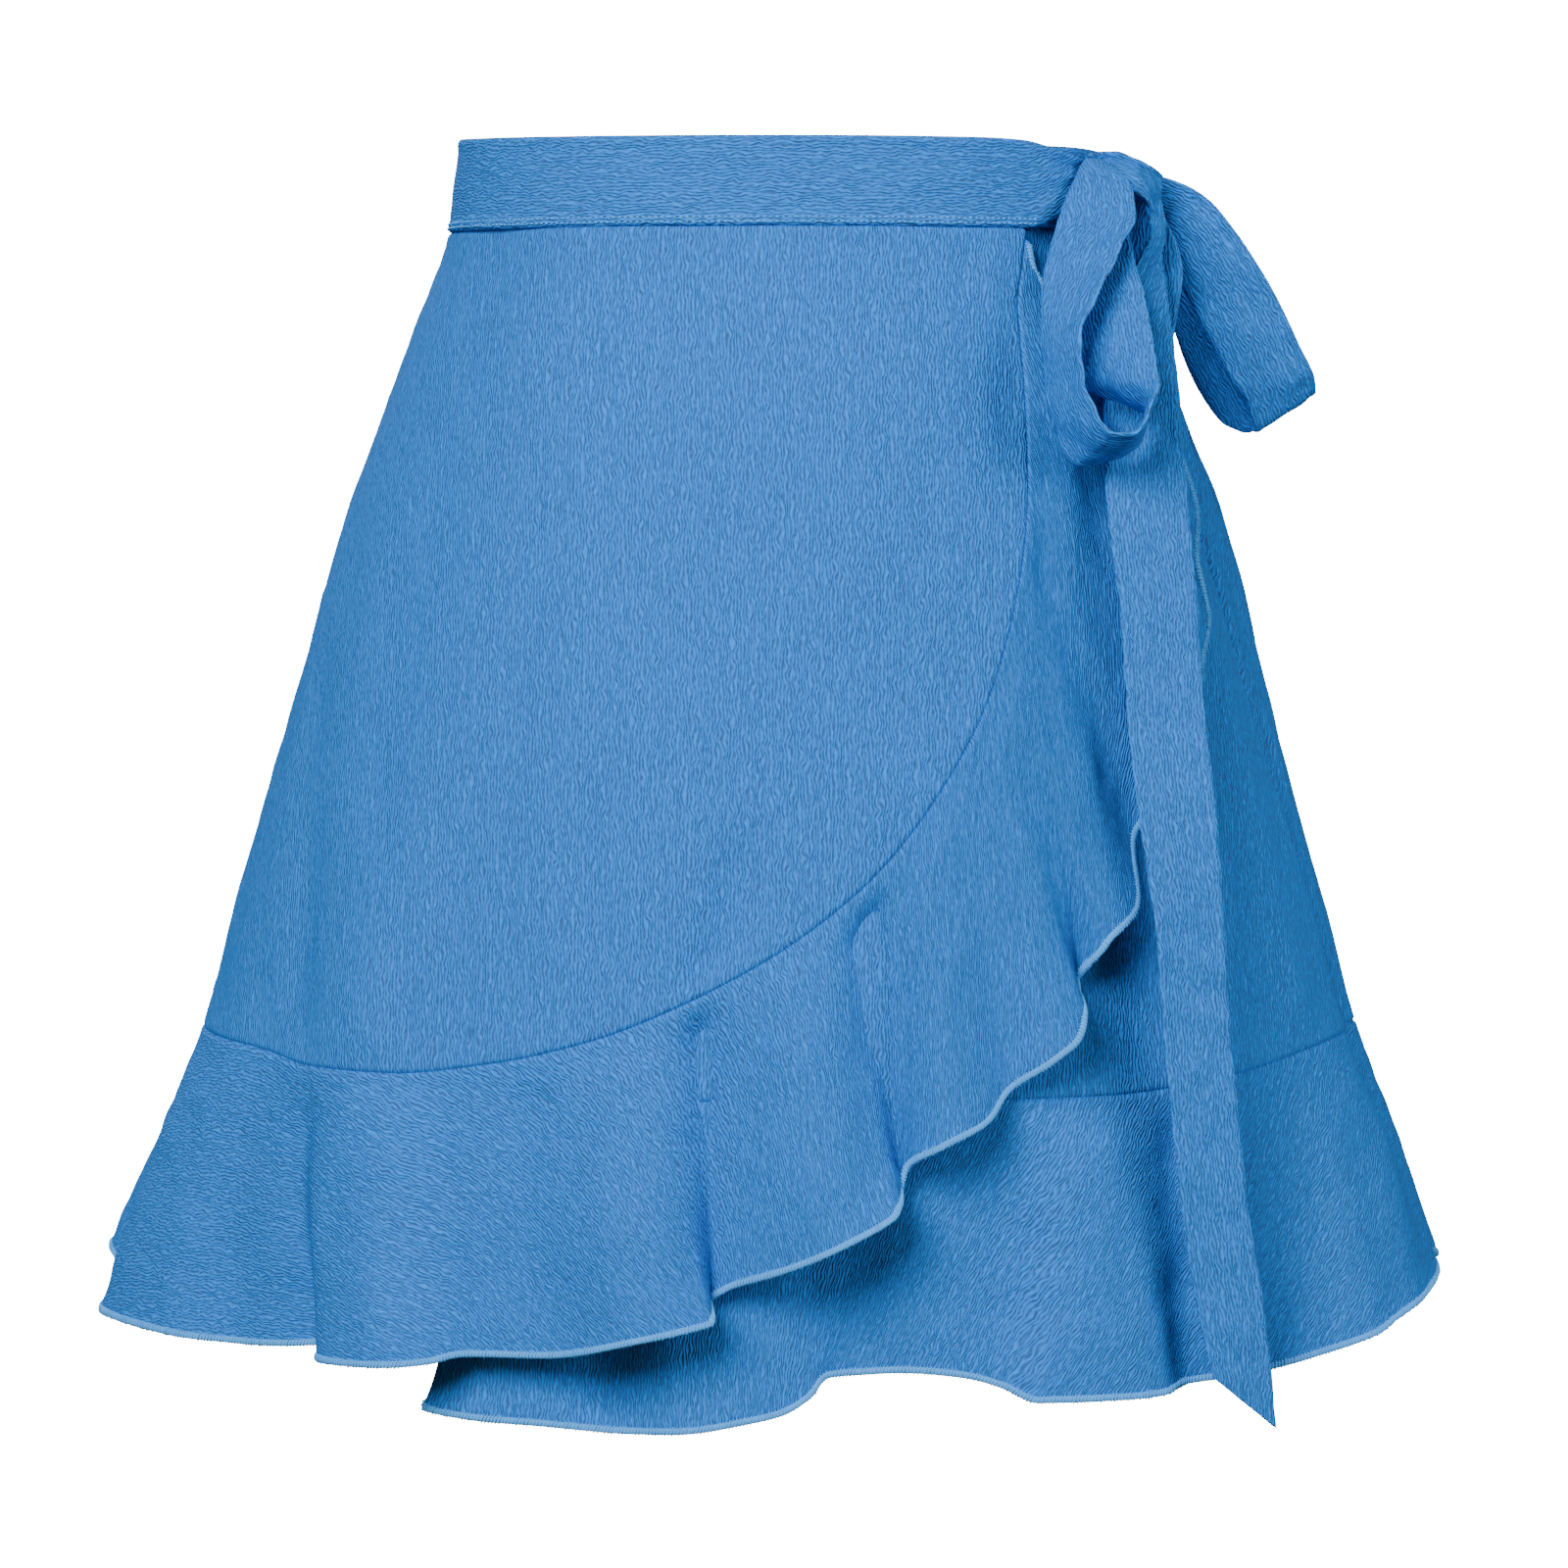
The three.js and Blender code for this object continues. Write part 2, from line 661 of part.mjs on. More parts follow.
add('loop_side', cutAtKnot(strip(SIDE_LOOP, 2)), tieBlue);
add('tail_front', cutAtKnot(strip(FRONT_TAIL, 1)), tieBlue);
add('tail_back', cutAtKnot(strip(BACK_TAIL, 1)), tieBlue);
add('tie_root', bandPiece(TIE_ROOT, TIE_SEWN, TIE_ROOT_END, 6), tieBlue);

export default group;
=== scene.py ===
"""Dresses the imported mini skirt: crinkle cloth, flounces, overlocked hems, topstitching, bow and studio."""

import math

import bmesh
import bpy
import numpy as np
from bpy.props import FloatProperty, FloatVectorProperty, PointerProperty
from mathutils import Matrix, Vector


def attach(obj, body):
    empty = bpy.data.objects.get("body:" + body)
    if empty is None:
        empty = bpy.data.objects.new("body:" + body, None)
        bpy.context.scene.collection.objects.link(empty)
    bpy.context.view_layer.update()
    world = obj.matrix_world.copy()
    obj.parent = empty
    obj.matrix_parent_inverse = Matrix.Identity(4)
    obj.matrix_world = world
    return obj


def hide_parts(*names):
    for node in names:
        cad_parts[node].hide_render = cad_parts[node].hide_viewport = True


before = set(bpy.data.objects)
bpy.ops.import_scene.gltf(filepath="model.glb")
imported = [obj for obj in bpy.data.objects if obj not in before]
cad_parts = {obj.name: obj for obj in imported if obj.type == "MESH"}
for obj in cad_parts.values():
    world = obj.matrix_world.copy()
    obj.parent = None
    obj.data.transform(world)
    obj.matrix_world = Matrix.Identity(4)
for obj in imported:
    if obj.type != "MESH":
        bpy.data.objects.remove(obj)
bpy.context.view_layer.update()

bl_info = {
    "name": "Ruffled wrap mini skirt",
    "version": (1, 0, 0),
    "blender": (4, 5, 0),
    "location": "3D View > Sidebar > Skirt",
    "description": "Makes the cloth, stitching and bow of a ruffled wrap mini skirt",
    "category": "Add Mesh",
}

MM = 0.001
TINY = 1e-9

# Driving sizes, in millimetres, and angles round the body in degrees: 0 is the middle of
# the front, +90 the bow's side, 180 the back and -90 (270) the far side
WAIST_SEAM = -16
WRAP_LAYER = 4
SIDE = 90
UNDERLAP_EDGE = -32
LAYER_FROM = -60
LAYER_TURNS = 26
COVERED_TO = 16
COVERED_TURNS = 14
BAND_END = 69
TIE_SEWN = 86
TIE_ROOT_END = 74.2
FLARE_EASE = 1.4
TUCK_EASE = 2.2
HEM_BEND_EASE = 3.5
HEM_BEND_COLUMNS = 30
BODY_ASPECT = 0.74
CREASE_PAST_END = 0.25          # how far a crease runs on past its places and fades, by its length
CREASE_FADE = 0.4
LATTICE = 64                    # cells of the unevenness before it repeats
FLOUNCE_BUMPS = (17, 8, 0.5)    # size of the large and small bumps, and the small ones' share
PANEL_BUMPS = (16, 7, 0.4)
PANEL_BUMP_STRETCH = 2.2        # how much taller than wide the panels' bumps are
FLOUNCE_CALM = 16               # how near a seam the cloth lies calm
PANEL_CALM = 12


def table(names, rows):
    """The columns of a table by name."""
    return dict(zip(names.split(), np.array(rows, float).T))


# Sections of the worn skirt: half width, and depth of its front and back halves
BODY = table("height half front back", [
    [-440, 250, 171, 183], [-375, 234, 160, 172], [-341, 223.5, 154, 166], [-298, 206.5, 146, 158],
    [-254, 194.5, 139.5, 152], [-212, 182.5, 133, 146], [-170, 170, 126, 140], [-128, 158, 118, 133],
    [-86, 143.5, 109.5, 122], [-54, 132, 101, 110], [-12, 117, 90, 92], [24, 113.5, 86, 87],
])
# The curved edge of the outer front panel, from the waist at the bow to the far side seam
WRAP_SEAM = table("turn height", [
    [44.6, -16], [41.5, -29], [38.4, -43], [36, -72], [33.2, -106], [29.4, -139], [23.9, -175],
    [17, -207], [9.1, -236], [0.3, -259], [-9, -277], [-18, -290], [-28, -298.5], [-39, -303],
    [-50, -303], [-66, -299], [-90, -297],
])
# The level seam of the other flounces, round the bow's side and the back
LEVEL_SEAM = table("turn height", [
    [-32, -310], [30, -310], [50, -305], [74, -297], [90, -296], [180, -298], [270, -297],
])
# Free edge of the outer flounce: run is how far along the wrap seam its cloth hangs from
OUTER_HEM = table("run turn height out", [
    [4, 44.4, -22, 4.5], [10, 43.9, -33, 5], [20, 48.4, -49, 8], [32, 56.2, -70, 9], [44, 66.5, -91, 6],
    [53, 65.4, -109, 7], [62, 59.4, -132, 9], [71, 60.6, -148, 7], [80, 55.6, -164, 9],
    [88, 53.3, -174, 10], [99, 47, -203, 7], [110, 38.7, -225, 9], [126, 36.4, -246, 14],
    [140, 31.8, -258, 16], [151, 29.6, -270, 6], [158, 29, -275, 9], [168, 28.6, -282, 16],
    [175, 27.6, -289, 17], [184, 24.7, -297, 15], [194, 20.8, -307, 6], [204, 18.2, -316, 10],
    [216, 13.9, -323, 16], [227, 11, -331, 6], [234, 10.4, -338, 4], [243, 9.5, -345, 17],
    [260, 4.9, -355, 20], [280, 0.2, -364, 13], [297, -4.3, -371, 3], [305, -5.9, -376, 1],
    [314, -5.2, -380, 17], [340, -10.9, -386, 21], [368, -18.3, -393, 10], [396, -25.7, -394, 8],
    [410, -28, -396, 14], [424, -31, -397, 19], [446, -38.4, -398, 13], [457, -41.2, -396, -6],
    [482, -51, -398, -5], [510, -61, -397, 4], [536, -76, -396, 6], [562, -90, -396, -4],
])
# Free edge of the under flounce, from the bow's side seam to its end under the wrap
UNDER_HEM = table("seam turn height out", [
    [90, 90, -380, -5], [82, 77, -383, 1], [72, 63, -389, 7], [65, 55.8, -395, 7], [58, 49.6, -400, 2],
    [51, 43, -405, -5], [46, 37.8, -406, -5], [43, 35.3, -407, -6], [39, 31.5, -409, 1],
    [34, 26, -409, 4], [28, 20.5, -409, 2], [25, 18, -405, -7], [21, 15.3, -402, -10],
    [15, 10, -400, -12], [7, 4, -402, -14], [4, 2.5, -408, -12], [1, 0.2, -413, -8], [-4, -3, -416, -7],
    [-9, -7.5, -419, -6], [-15, -13, -420, -11], [-21, -19.5, -418, -9], [-26, -25, -417, -8],
    [-30, -30.7, -415, -13], [-31, -30, -413, -17], [-32, -26.5, -411, -19],
])
# Free edge of the back flounce, from the bow's side seam round to the far one
BACK_HEM = table("seam turn height out", [
    [90, 90, -380, -5], [97, 97, -384, 3], [106, 106, -388, -6], [116, 117, -391, 12],
    [127, 127, -394, 0], [138, 137, -396, 14], [150, 150, -398, -5], [160, 161, -400, 12],
    [170, 170, -401, 2], [182, 181, -402, 15], [194, 193, -401, -5], [204, 204, -400, 11],
    [214, 214, -399, 1], [225, 226, -397, 13], [237, 238, -394, -6], [246, 248, -389, 8],
    [254, 255, -384, 1], [261, 262, -380, 10], [270, 270, -388, -4],
])
# Soft folds of the panels: each runs down from its top, deepening to its depth
FOLDS = table("turn lean width top bottom depth", [
    [-41, -3, 6, -150, -300, 3.5], [-56, -4, 6, -170, -300, -2.5], [-6, -1, 3.5, -225, -285, -3],
    [79, 2, 4, -50, -150, -7], [92, 0, 7, -50, -120, 3], [92, 0, 7, -130, -220, -4],
    [60, -2, 7, -150, -300, -2], [-20, 2, 9, -60, -270, 1.5], [112, 2, 7, -120, -300, -3],
    [138, 1, 8, -150, -300, 3], [150, 0, 6, -170, -300, -3], [181, 0, 10, -150, -300, 3],
    [196, -1, 7, -130, -300, -3], [226, -2, 8, -150, -300, 3], [241, -2, 6, -120, -300, -3],
])
# Upper and lower edge of the waistband; it narrows into the knot
OUTER_BAND = table("turn low high out", [
    [-90, -16, 17, 0], [-60, -16, 16, 2.5], [-34, -16, 15.3, 4], [0, -16, 15, 4], [36, -16, 15, 4],
    [45, -16, 14.5, 4.3], [52, -12, 12, 5.5], [58, -6, 9.5, 6], [64, -1, 7.5, 7], [69, 1, 6.5, 8],
])
LEVEL_BAND = table("turn low high out", [
    [-32, -16, 13, 0], [60, -16, 13, 0], [90, -16, 12, 0], [110, -16, 14.5, 0], [180, -16, 17, 0],
    [270, -16, 17, 0],
])
# The second tie, sewn on at the bow's side seam
TIE_ROOT = table("turn low high out", [
    [86, -9, 9, 3.5], [81, -7, 9, 4.5], [77, -4, 8, 7], [73, -1, 6, 10],
])
EDGES = "near_x near_y near_z far_x far_y far_z"
# The ties: each row is a place along a strip, with its two edges
FRONT_LOOP = table(EDGES, [
    [121, -40, 1, 117, -38, 7], [116, -52, 5, 106, -49, 8], [121, -62, -1, 101, -56, 0],
    [122, -74, -12, 96, -67, -12], [117, -86, -22, 92, -77, -23], [109, -100, -38, 89, -86, -37],
    [101, -112, -54, 89, -92, -54], [102, -119, -69, 90, -97, -71], [106, -124, -79, 93, -103, -86],
    [112, -126, -86, 101, -106, -97], [118, -126, -86, 111, -106, -96],
    [122, -124, -82, 121, -102, -91], [125, -119, -75, 124, -97, -81], [127, -115, -70, 114, -96, -76],
    [127, -110, -65, 102, -97, -69], [126, -102, -54, 100, -92, -56], [124, -88, -39, 97, -83, -39],
    [121, -77, -26, 95, -72, -25], [120, -64, -16, 98, -60, -14], [120, -44, -4, 114, -41, -1],
])
SIDE_LOOP = table(EDGES, [
    [126, -35, 4, 126, -34, -1], [140, -31, 1, 134, -26, -12], [151, -30, -6, 136, -26, -25],
    [160, -30, -17, 140, -26, -34], [173, -28, -37, 149, -26, -51], [182, -25, -55, 158, -25, -67],
    [188, -21, -67, 164, -22, -76], [189, -16, -72, 167, -17, -86], [188, -9, -71, 165, -12, -86],
    [180, -5, -61, 158, -5, -84], [170, -3, -45, 148, -2, -71], [159, -5, -27, 141, -3, -55],
    [149, -10, -14, 136, -9, -37], [140, -20, -6, 134, -19, -20], [128, -31, 2, 127, -30, -2],
])
FRONT_TAIL = table(EDGES, [
    [125, -38, 1, 131, -35, 2], [127, -46, -8, 133, -40, -8], [128, -52, -17, 133, -45, -17],
    [124, -60, -26, 132, -52, -25], [119, -66, -34, 133, -58, -33], [113, -72, -45, 134, -64, -45],
    [110, -80, -62, 136, -72, -61], [110, -90, -82, 137, -82, -81], [110, -98, -97, 138, -90, -96],
    [112, -106, -125, 140, -98, -124], [115, -112, -150, 142, -104, -150],
    [117, -120, -184, 144, -112, -184], [120, -129, -214, 147, -121, -214],
    [125, -135, -248, 149, -127, -247], [128, -138, -283, 151, -130, -283],
    [131, -140, -315, 154, -133, -316], [135, -142, -352, 158, -135, -352],
    [140, -144, -380, 163, -137, -381], [145, -145, -403, 167, -138, -421],
])
BACK_TAIL = table(EDGES, [
    [124, -34, 0, 129, -34, 0], [122, -33, -8, 134, -36, -11], [121, -34, -19, 139, -39, -23],
    [121, -41, -33, 140, -44, -31], [118, -58, -50, 137, -52, -49], [114, -75, -66, 134, -67, -65],
    [111, -86, -82, 136, -78, -81], [112, -94, -97, 137, -86, -96], [114, -102, -125, 139, -94, -124],
    [116, -108, -150, 141, -100, -150], [118, -116, -184, 143, -108, -184],
    [121, -124, -214, 146, -116, -214], [127, -130, -249, 148, -122, -248],
    [130, -134, -283, 150, -126, -283], [133, -136, -309, 153, -128, -323],
])
KNOT_PLACE = (122, -37, 2)
KNOT_HALF = (10, 9, 8.5)
KNOT_TILT = 25
KNOT_UNDER_LAP = 0.85           # the knot's size below the lap of tie that covers it
KNOT_FOLD_DEPTH = 0.045         # the folds that run round the knot, and its dents, by its size
KNOT_DENT_DEPTH = 0.03
KNOT_GRAIN = 9                  # the knot's radius where its crinkles are laid out
KNOT_POLE = 0.02                # how near its poles the knot's grid ends, in radians
LAP_FOLDS = 2.3
LAP_FOLD_DEPTH = 0.6
LAP_FOLD_WANDER = 0.25

# Folded strips, by half their width: a bead along each edge, with a groove inside it
BEAD_AT = 0.9
BEAD_WIDTH = 0.07
GROOVE_AT = 0.72
GROOVE_WIDTH = 0.09
GROOVE_SHARE = 0.6
EDGE_ROUNDNESS = 10
# Steps across a folded strip, crowded at its edges
EDGE_STEPS = (1 - np.cos(np.linspace(0, np.pi, 25))) / 2

# Sewing
SEAM_TUCK = 1.1                 # how far cloth turns inwards at a seam
SEAM_ROUND = 0.7
GATHER_FROM = 40
GATHER_TURNS = 22
GATHER_DEPTH = 0.7
GATHER_FOLDS = 2.6
GATHER_WANDER = 0.3
GATHER_WANDER_LENGTH = 9
BAND_CALM = 0.7                 # share of the cloth's unevenness that the band has
BAND_BUMP = 9
BAND_BUMP_STRETCH = 1.8
TIE_BUMP_LARGE = 0.7            # how far the ties' large and small bumps stand out
TIE_BUMP_SMALL = 0.35
TIE_BUMP = 9
RIM_WAVE = 0.8                  # how far the ties' edges wave
RIM_WAVE_LENGTH = 8
RIM_PLACE = 7.3                 # each tie's waves are taken from another place
EDGE_BEAD = 0.3                 # how much thicker folded cloth is along its edges
TOPSTITCH_END = 46
TOPSTITCH_RISES = (1.5, 3.1)
TOPSTITCH_FILL = 0.66           # share of a stitch's pitch that its thread lies on top
TOPSTITCH_WIDTH = 0.0008        # in metres
TOPSTITCH_HEIGHT = 0.0007
ROLL_WIDTH = 0.44               # the rolled edge below the overlock stitches, by their size
ROLL_HEIGHT = 0.4
ROLL_SETBACK = 0.75
ROLL_SIDES = 8
STITCH_SETBACK = 0.35
STITCH_SEED = 7
LEAST_STITCH = 0.88             # how uneven the stitches' sizes are
LARGEST_STITCH = 1.12
LOOP_SLANT = 0.3                # in radians
LOOP_CORNERS = 8
THREAD_CORNERS = 4
CIRCLE = "GeometryNodeCurvePrimitiveCircle"
GRAIN = "grain"
INWARDS = "inwards"
OUTER_STRAIGHT = 235            # where along its seam the outer flounce's grain runs straight down
OUTER_RING = 170                # the ring that the outer flounce is cut from

# Creases: each a soft ridge or trough along a line between two places
PLACES = "turn_1 height_1 turn_2 height_2 width depth"
OUTER_PANEL_CREASES = table(PLACES, [
    [-61, -147, -44, -302, 14, 2], [-70, -177, -53, -300, 12, -2], [-4, -225, -7, -275, 8, -2.5],
    [12, -60, 9, -150, 20, 0.8], [-30, -80, -22, -200, 18, 1],
])
LEVEL_PANEL_CREASES = table(PLACES, [
    [52, -110, 50, -290, 12, -2], [64, -120, 62, -290, 12, 2], [70, -70, 75, -215, 4, -6],
    [80, -70, 83, -215, 6, 4], [120, -60, 122, -280, 14, 1.5], [165, -80, 168, -280, 16, -1.5],
    [210, -70, 206, -280, 16, 1.5], [250, -90, 246, -280, 12, -1.5],
])
OUTER_FLOUNCE_CREASES = table(PLACES, [
    [-49, -325, -42, -395, 10, -4], [-37, -310, -32, -391, 14, 3], [-24, -308, -20, -382, 12, -2],
    [-14, -298, -11, -374, 14, 2.5], [-8, -268, -6.5, -374, 8, -6], [0.5, -262, 2, -355, 12, 2.5],
    [8.7, -249, 8.3, -336, 8, -8], [17.5, -217, 15.5, -317, 13, 3], [26, -165, 29, -250, 9, 3],
    [32.8, -126, 39, -225, 8, -3], [47.4, -39, 43, -126, 6, -2],
])
UNDER_FLOUNCE_CREASES = table(PLACES, [
    [-15.5, -390, -14.5, -416, 10, -3], [1.5, -340, 1.8, -408, 12, -4], [10.5, -340, 11, -387, 14, 2.5],
    [20, -329, 18.5, -390, 12, -2.5], [28, -320, 26, -394, 14, 2.5], [38.4, -322, 34, -402, 10, -4],
    [60, -320, 55, -390, 14, 2],
])
BACK_FLOUNCE_CREASES = table(PLACES, [
    [112, -330, 114, -390, 10, -2], [144, -330, 146, -395, 12, -2], [188, -330, 188, -400, 12, -2],
    [231, -330, 230, -395, 10, -2],
])
# The tie's lap over the knot: it comes from behind the front loop and runs down into the end
KNOT_LAP = table(EDGES, [
    [105, -38, 3, 108, -36, 10], [111, -46, 2, 111, -42, 11], [117, -50, 0, 116, -45, 11],
    [123, -51, -3, 122, -45, 9], [128, -49, -8, 128, -42, 6], [129, -46, -14, 133, -37, 3],
])


def clamp(value):
    return np.clip(value, 0, 1)


def mix(first, second, share):
    return first + (second - first) * share


def soft_step(value):
    return clamp(value) ** 2 * (3 - 2 * clamp(value))


def bump(value):
    """A soft bell of height 1, one unit to each side."""
    return np.exp(-value * value)


def smooth(rows, key, column, at):
    """A smooth curve through a table's column that never overshoots its rows."""
    keys, values = rows[key], rows[column]
    slopes = np.diff(values) / np.diff(keys)
    before, after = slopes[:-1], slopes[1:]
    total = np.where(before * after > 0, before + after, 1)
    inner = np.where(before * after > 0, 2 * before * after / total, 0)
    tangents = np.concatenate([[0], inner, [0]])
    way = np.sign(keys[-1] - keys[0])
    left = np.clip(np.searchsorted(keys * way, np.asarray(at) * way) - 1, 0, len(keys) - 2)
    span = keys[left + 1] - keys[left]
    share = clamp((at - keys[left]) / span)
    square, cube = share**2, share**3
    return (
        values[left] * (2 * cube - 3 * square + 1)
        + tangents[left] * span * (cube - 2 * square + share)
        + values[left + 1] * (3 * square - 2 * cube)
        + tangents[left + 1] * span * (cube - square)
    )


def along_rows(rows, share):
    """Every column of a table, smoothed over its row numbers."""
    count = len(next(iter(rows.values())))
    numbered = {**rows, "row": np.arange(count, dtype=float)}
    at = share * (count - 1)
    return {column: smooth(numbered, "row", column, at) for column in rows}


def fine_rows(rows, per_row):
    """Every column of a table in fine steps, per_row of them from each row to the next."""
    count = len(next(iter(rows.values())))
    return along_rows(rows, np.linspace(0, 1, per_row * (count - 1) + 1))


def lengths(points, axis):
    """The length along an axis of a grid up to each of its points."""
    steps = np.linalg.norm(np.diff(points, axis=axis), axis=-1)
    start = np.zeros_like(np.take(steps, [0], axis=axis))
    return np.concatenate([start, np.cumsum(steps, axis=axis)], axis=axis)


def unit(vectors):
    return vectors / np.maximum(np.linalg.norm(vectors, axis=-1, keepdims=True), TINY)


def form(turn, height, out):
    """Points of the worn form, moved outwards by out."""
    angle = np.radians(turn)
    half = smooth(BODY, "height", "half", height)
    front = smooth(BODY, "height", "front", height)
    back = smooth(BODY, "height", "back", height)
    depth = np.where(np.cos(angle) > 0, front, back)
    across, forth = np.sin(angle) / half, -np.cos(angle) / depth
    size = np.hypot(across, forth)
    x = half * np.sin(angle) + across / size * out
    y = -depth * np.cos(angle) + forth / size * out
    return np.stack(np.broadcast_arrays(x, y, height), -1)


def fold_out(turn, height):
    """How far the soft folds move the cloth outwards."""
    out = 0
    for top, bottom, centre, lean, width, depth in zip(
        *(FOLDS[name] for name in ("top", "bottom", "turn", "lean", "width", "depth"))
    ):
        way = (top - height) / (top - bottom)
        out = out + depth * soft_step(way) * bump((turn - centre - lean * clamp(way)) / width)
    return out


def crease_out(creases, turn, height):
    """How far a piece's own creases move it, each a soft ridge or trough along a line."""
    out = np.zeros(np.broadcast(turn, height).shape)
    for row in zip(*creases.values()):
        turn_1, height_1, turn_2, height_2, width, depth = row
        scale = np.radians(1) * smooth(BODY, "height", "half", (height_1 + height_2) / 2)
        run, rise = (turn_2 - turn_1) * scale, height_2 - height_1
        across, up = (turn - turn_1) * scale, height - height_1
        length = math.hypot(run, rise)
        way = (across * run + up * rise) / length**2
        aside = (across * rise - up * run) / length
        fade = soft_step((way + CREASE_PAST_END) / CREASE_FADE)
        fade = fade * soft_step((1 + CREASE_PAST_END - way) / CREASE_FADE)
        out += depth * fade * bump(aside / width)
    return out


def outer_out(turn, height):
    return WRAP_LAYER * soft_step((turn - LAYER_FROM) / LAYER_TURNS) + fold_out(turn, height)


def sway(across, along, size, seed):
    """Soft unevenness from -1 to 1 with bumps about as large as size, the same at each run."""
    lattice = np.random.default_rng(seed).uniform(-1, 1, (LATTICE, LATTICE))
    first, second = np.floor(across / size).astype(int), np.floor(along / size).astype(int)
    share_1, share_2 = soft_step(across / size - first), soft_step(along / size - second)

    def corner(i, j):
        return lattice[(first + i) % LATTICE, (second + j) % LATTICE]

    near = mix(corner(0, 0), corner(1, 0), share_1)
    return mix(near, mix(corner(0, 1), corner(1, 1), share_1), share_2)


def bumps(across, along, seed, sizes):
    """Large soft bumps with a share of small ones on them."""
    large, small, share = sizes
    return sway(across, along, large, seed) + share * sway(across, along, small, seed + 1)


def setting(group, name):
    """A length from the sidebar's settings, in millimetres."""
    return getattr(getattr(bpy.context.scene, "skirt_" + group), name) / MM


def round_length(turn, centre, height):
    """Length round the body from a turn to the piece's middle, in millimetres."""
    degrees = np.arange(-180, 361)
    angles = np.radians(degrees)
    run = np.cumsum(np.hypot(np.cos(angles), BODY_ASPECT * np.sin(angles)) * np.radians(1))
    between = np.interp(turn, degrees, run) - np.interp(centre, degrees, run)
    return between * smooth(BODY, "height", "half", height)


# The wrap seam by its length from the waist
RULER = np.linspace(0, 1, 2001)
RULER_PATH = along_rows(WRAP_SEAM, RULER)
RULER_POINTS = form(RULER_PATH["turn"], RULER_PATH["height"], WRAP_LAYER)
RULER_LENGTHS = np.concatenate([[0], np.cumsum(np.linalg.norm(np.diff(RULER_POINTS, axis=0), axis=1))])
WRAP_LENGTH = RULER_LENGTHS[-1]


def wrap_seam(length):
    """Turn, height and steepness of the wrap seam at a length from the waist."""
    share = np.interp(length, RULER_LENGTHS, RULER)
    here = along_rows(WRAP_SEAM, share)
    nearby = 0.004
    before = along_rows(WRAP_SEAM, clamp(share - nearby))
    after = along_rows(WRAP_SEAM, clamp(share + nearby))
    radius = np.linalg.norm(form(here["turn"], here["height"], 0)[..., :2], axis=-1)
    run = np.radians(after["turn"] - before["turn"]) * radius
    rise = after["height"] - before["height"]
    level = np.abs(run) / np.hypot(run, rise)
    return here["turn"], here["height"], level


def shares(count, towards_both=False):
    """Steps from 0 to 1 that crowd at the start, or at both ends, where seams need them."""
    even = np.linspace(0, 1, count + 1)
    return (1 - np.cos(np.pi * even)) / 2 if towards_both else even**1.5


def tuck(distance):
    """How far cloth turns inwards at a seam that is a distance away, in millimetres."""
    return -SEAM_TUCK * bump(distance / SEAM_ROUND)


def side_tuck(turn, height):
    """The tuck at the side seams."""
    aside = np.minimum(np.abs(turn - SIDE), np.abs(np.abs(turn - SIDE) - 2 * SIDE))
    return tuck(np.radians(aside) * smooth(BODY, "height", "half", height))


def grid_mesh(name, points, grain, ring=False):
    """A mesh of four-sided faces through a grid of points, in millimetres. grain gives
    for each point how far it lies across and along the crinkles. A ring closes round."""
    rows, columns = points.shape[:2]
    index = np.arange(rows * columns).reshape(rows, columns)
    if ring:
        index = np.hstack([index, index[:, :1]])
    corners = [index[:-1, :-1], index[1:, :-1], index[1:, 1:], index[:-1, 1:]]
    faces = np.stack(corners, -1).reshape(-1, 4).tolist()
    if ring:
        faces += [index[0, :-1].tolist(), index[-1, -2::-1].tolist()]
    mesh = bpy.data.meshes.new(name)
    mesh.from_pydata((points.reshape(-1, 3) * MM).tolist(), [], faces)
    turned = outwardness(mesh, ring)
    if turned < 0:
        mesh.flip_normals()
    corner_points = np.zeros(len(mesh.loops), int)
    mesh.loops.foreach_get("vertex_index", corner_points)
    layer = mesh.uv_layers.new(name=GRAIN)
    layer.data.foreach_set("uv", (grain.reshape(-1, 2)[corner_points] * MM).ravel())
    mesh.polygons.foreach_set("use_smooth", np.ones(len(mesh.polygons), bool))
    mesh.update()
    return mesh


def joined(meshes):
    """One mesh of several, under the first one's name."""
    whole = bmesh.new()
    for mesh in meshes:
        whole.from_mesh(mesh)
    whole.to_mesh(meshes[0])
    whole.free()
    for mesh in meshes[1:]:
        bpy.data.meshes.remove(mesh)
    return meshes[0]


def outwardness(mesh, ring):
    """Positive where the faces point out: of the closed shape, or away from the body's axis."""
    centres = np.zeros(len(mesh.polygons) * 3)
    normals = np.zeros(len(mesh.polygons) * 3)
    areas = np.zeros(len(mesh.polygons))
    mesh.polygons.foreach_get("center", centres)
    mesh.polygons.foreach_get("normal", normals)
    mesh.polygons.foreach_get("area", areas)
    away = centres.reshape(-1, 3)
    if not ring:
        away = away * (1, 1, 0)
    return float(np.sum(areas * np.sum(away * normals.reshape(-1, 3), axis=1)))


def show(name, data):
    piece = bpy.data.objects.new(name, data)
    bpy.context.scene.collection.objects.link(piece)
    return piece


def wear(piece, slot, node=None):
    """Gives a piece its finish and its place. A piece in place of a solid also hides that solid."""
    piece.data.materials.append(finish_for(slot))
    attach(piece, "root")
    if node:
        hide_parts(node)


def single_layer(name, node, slot, points, grain):
    """A piece of single cloth in place of its solid, with half its thickness to each side."""
    piece = show(name, grid_mesh(name, points, grain))
    wall = piece.modifiers.new("cloth", "SOLIDIFY")
    wall.thickness = bpy.context.scene.skirt_cloth.thickness
    wall.offset = 0
    wear(piece, slot, node)


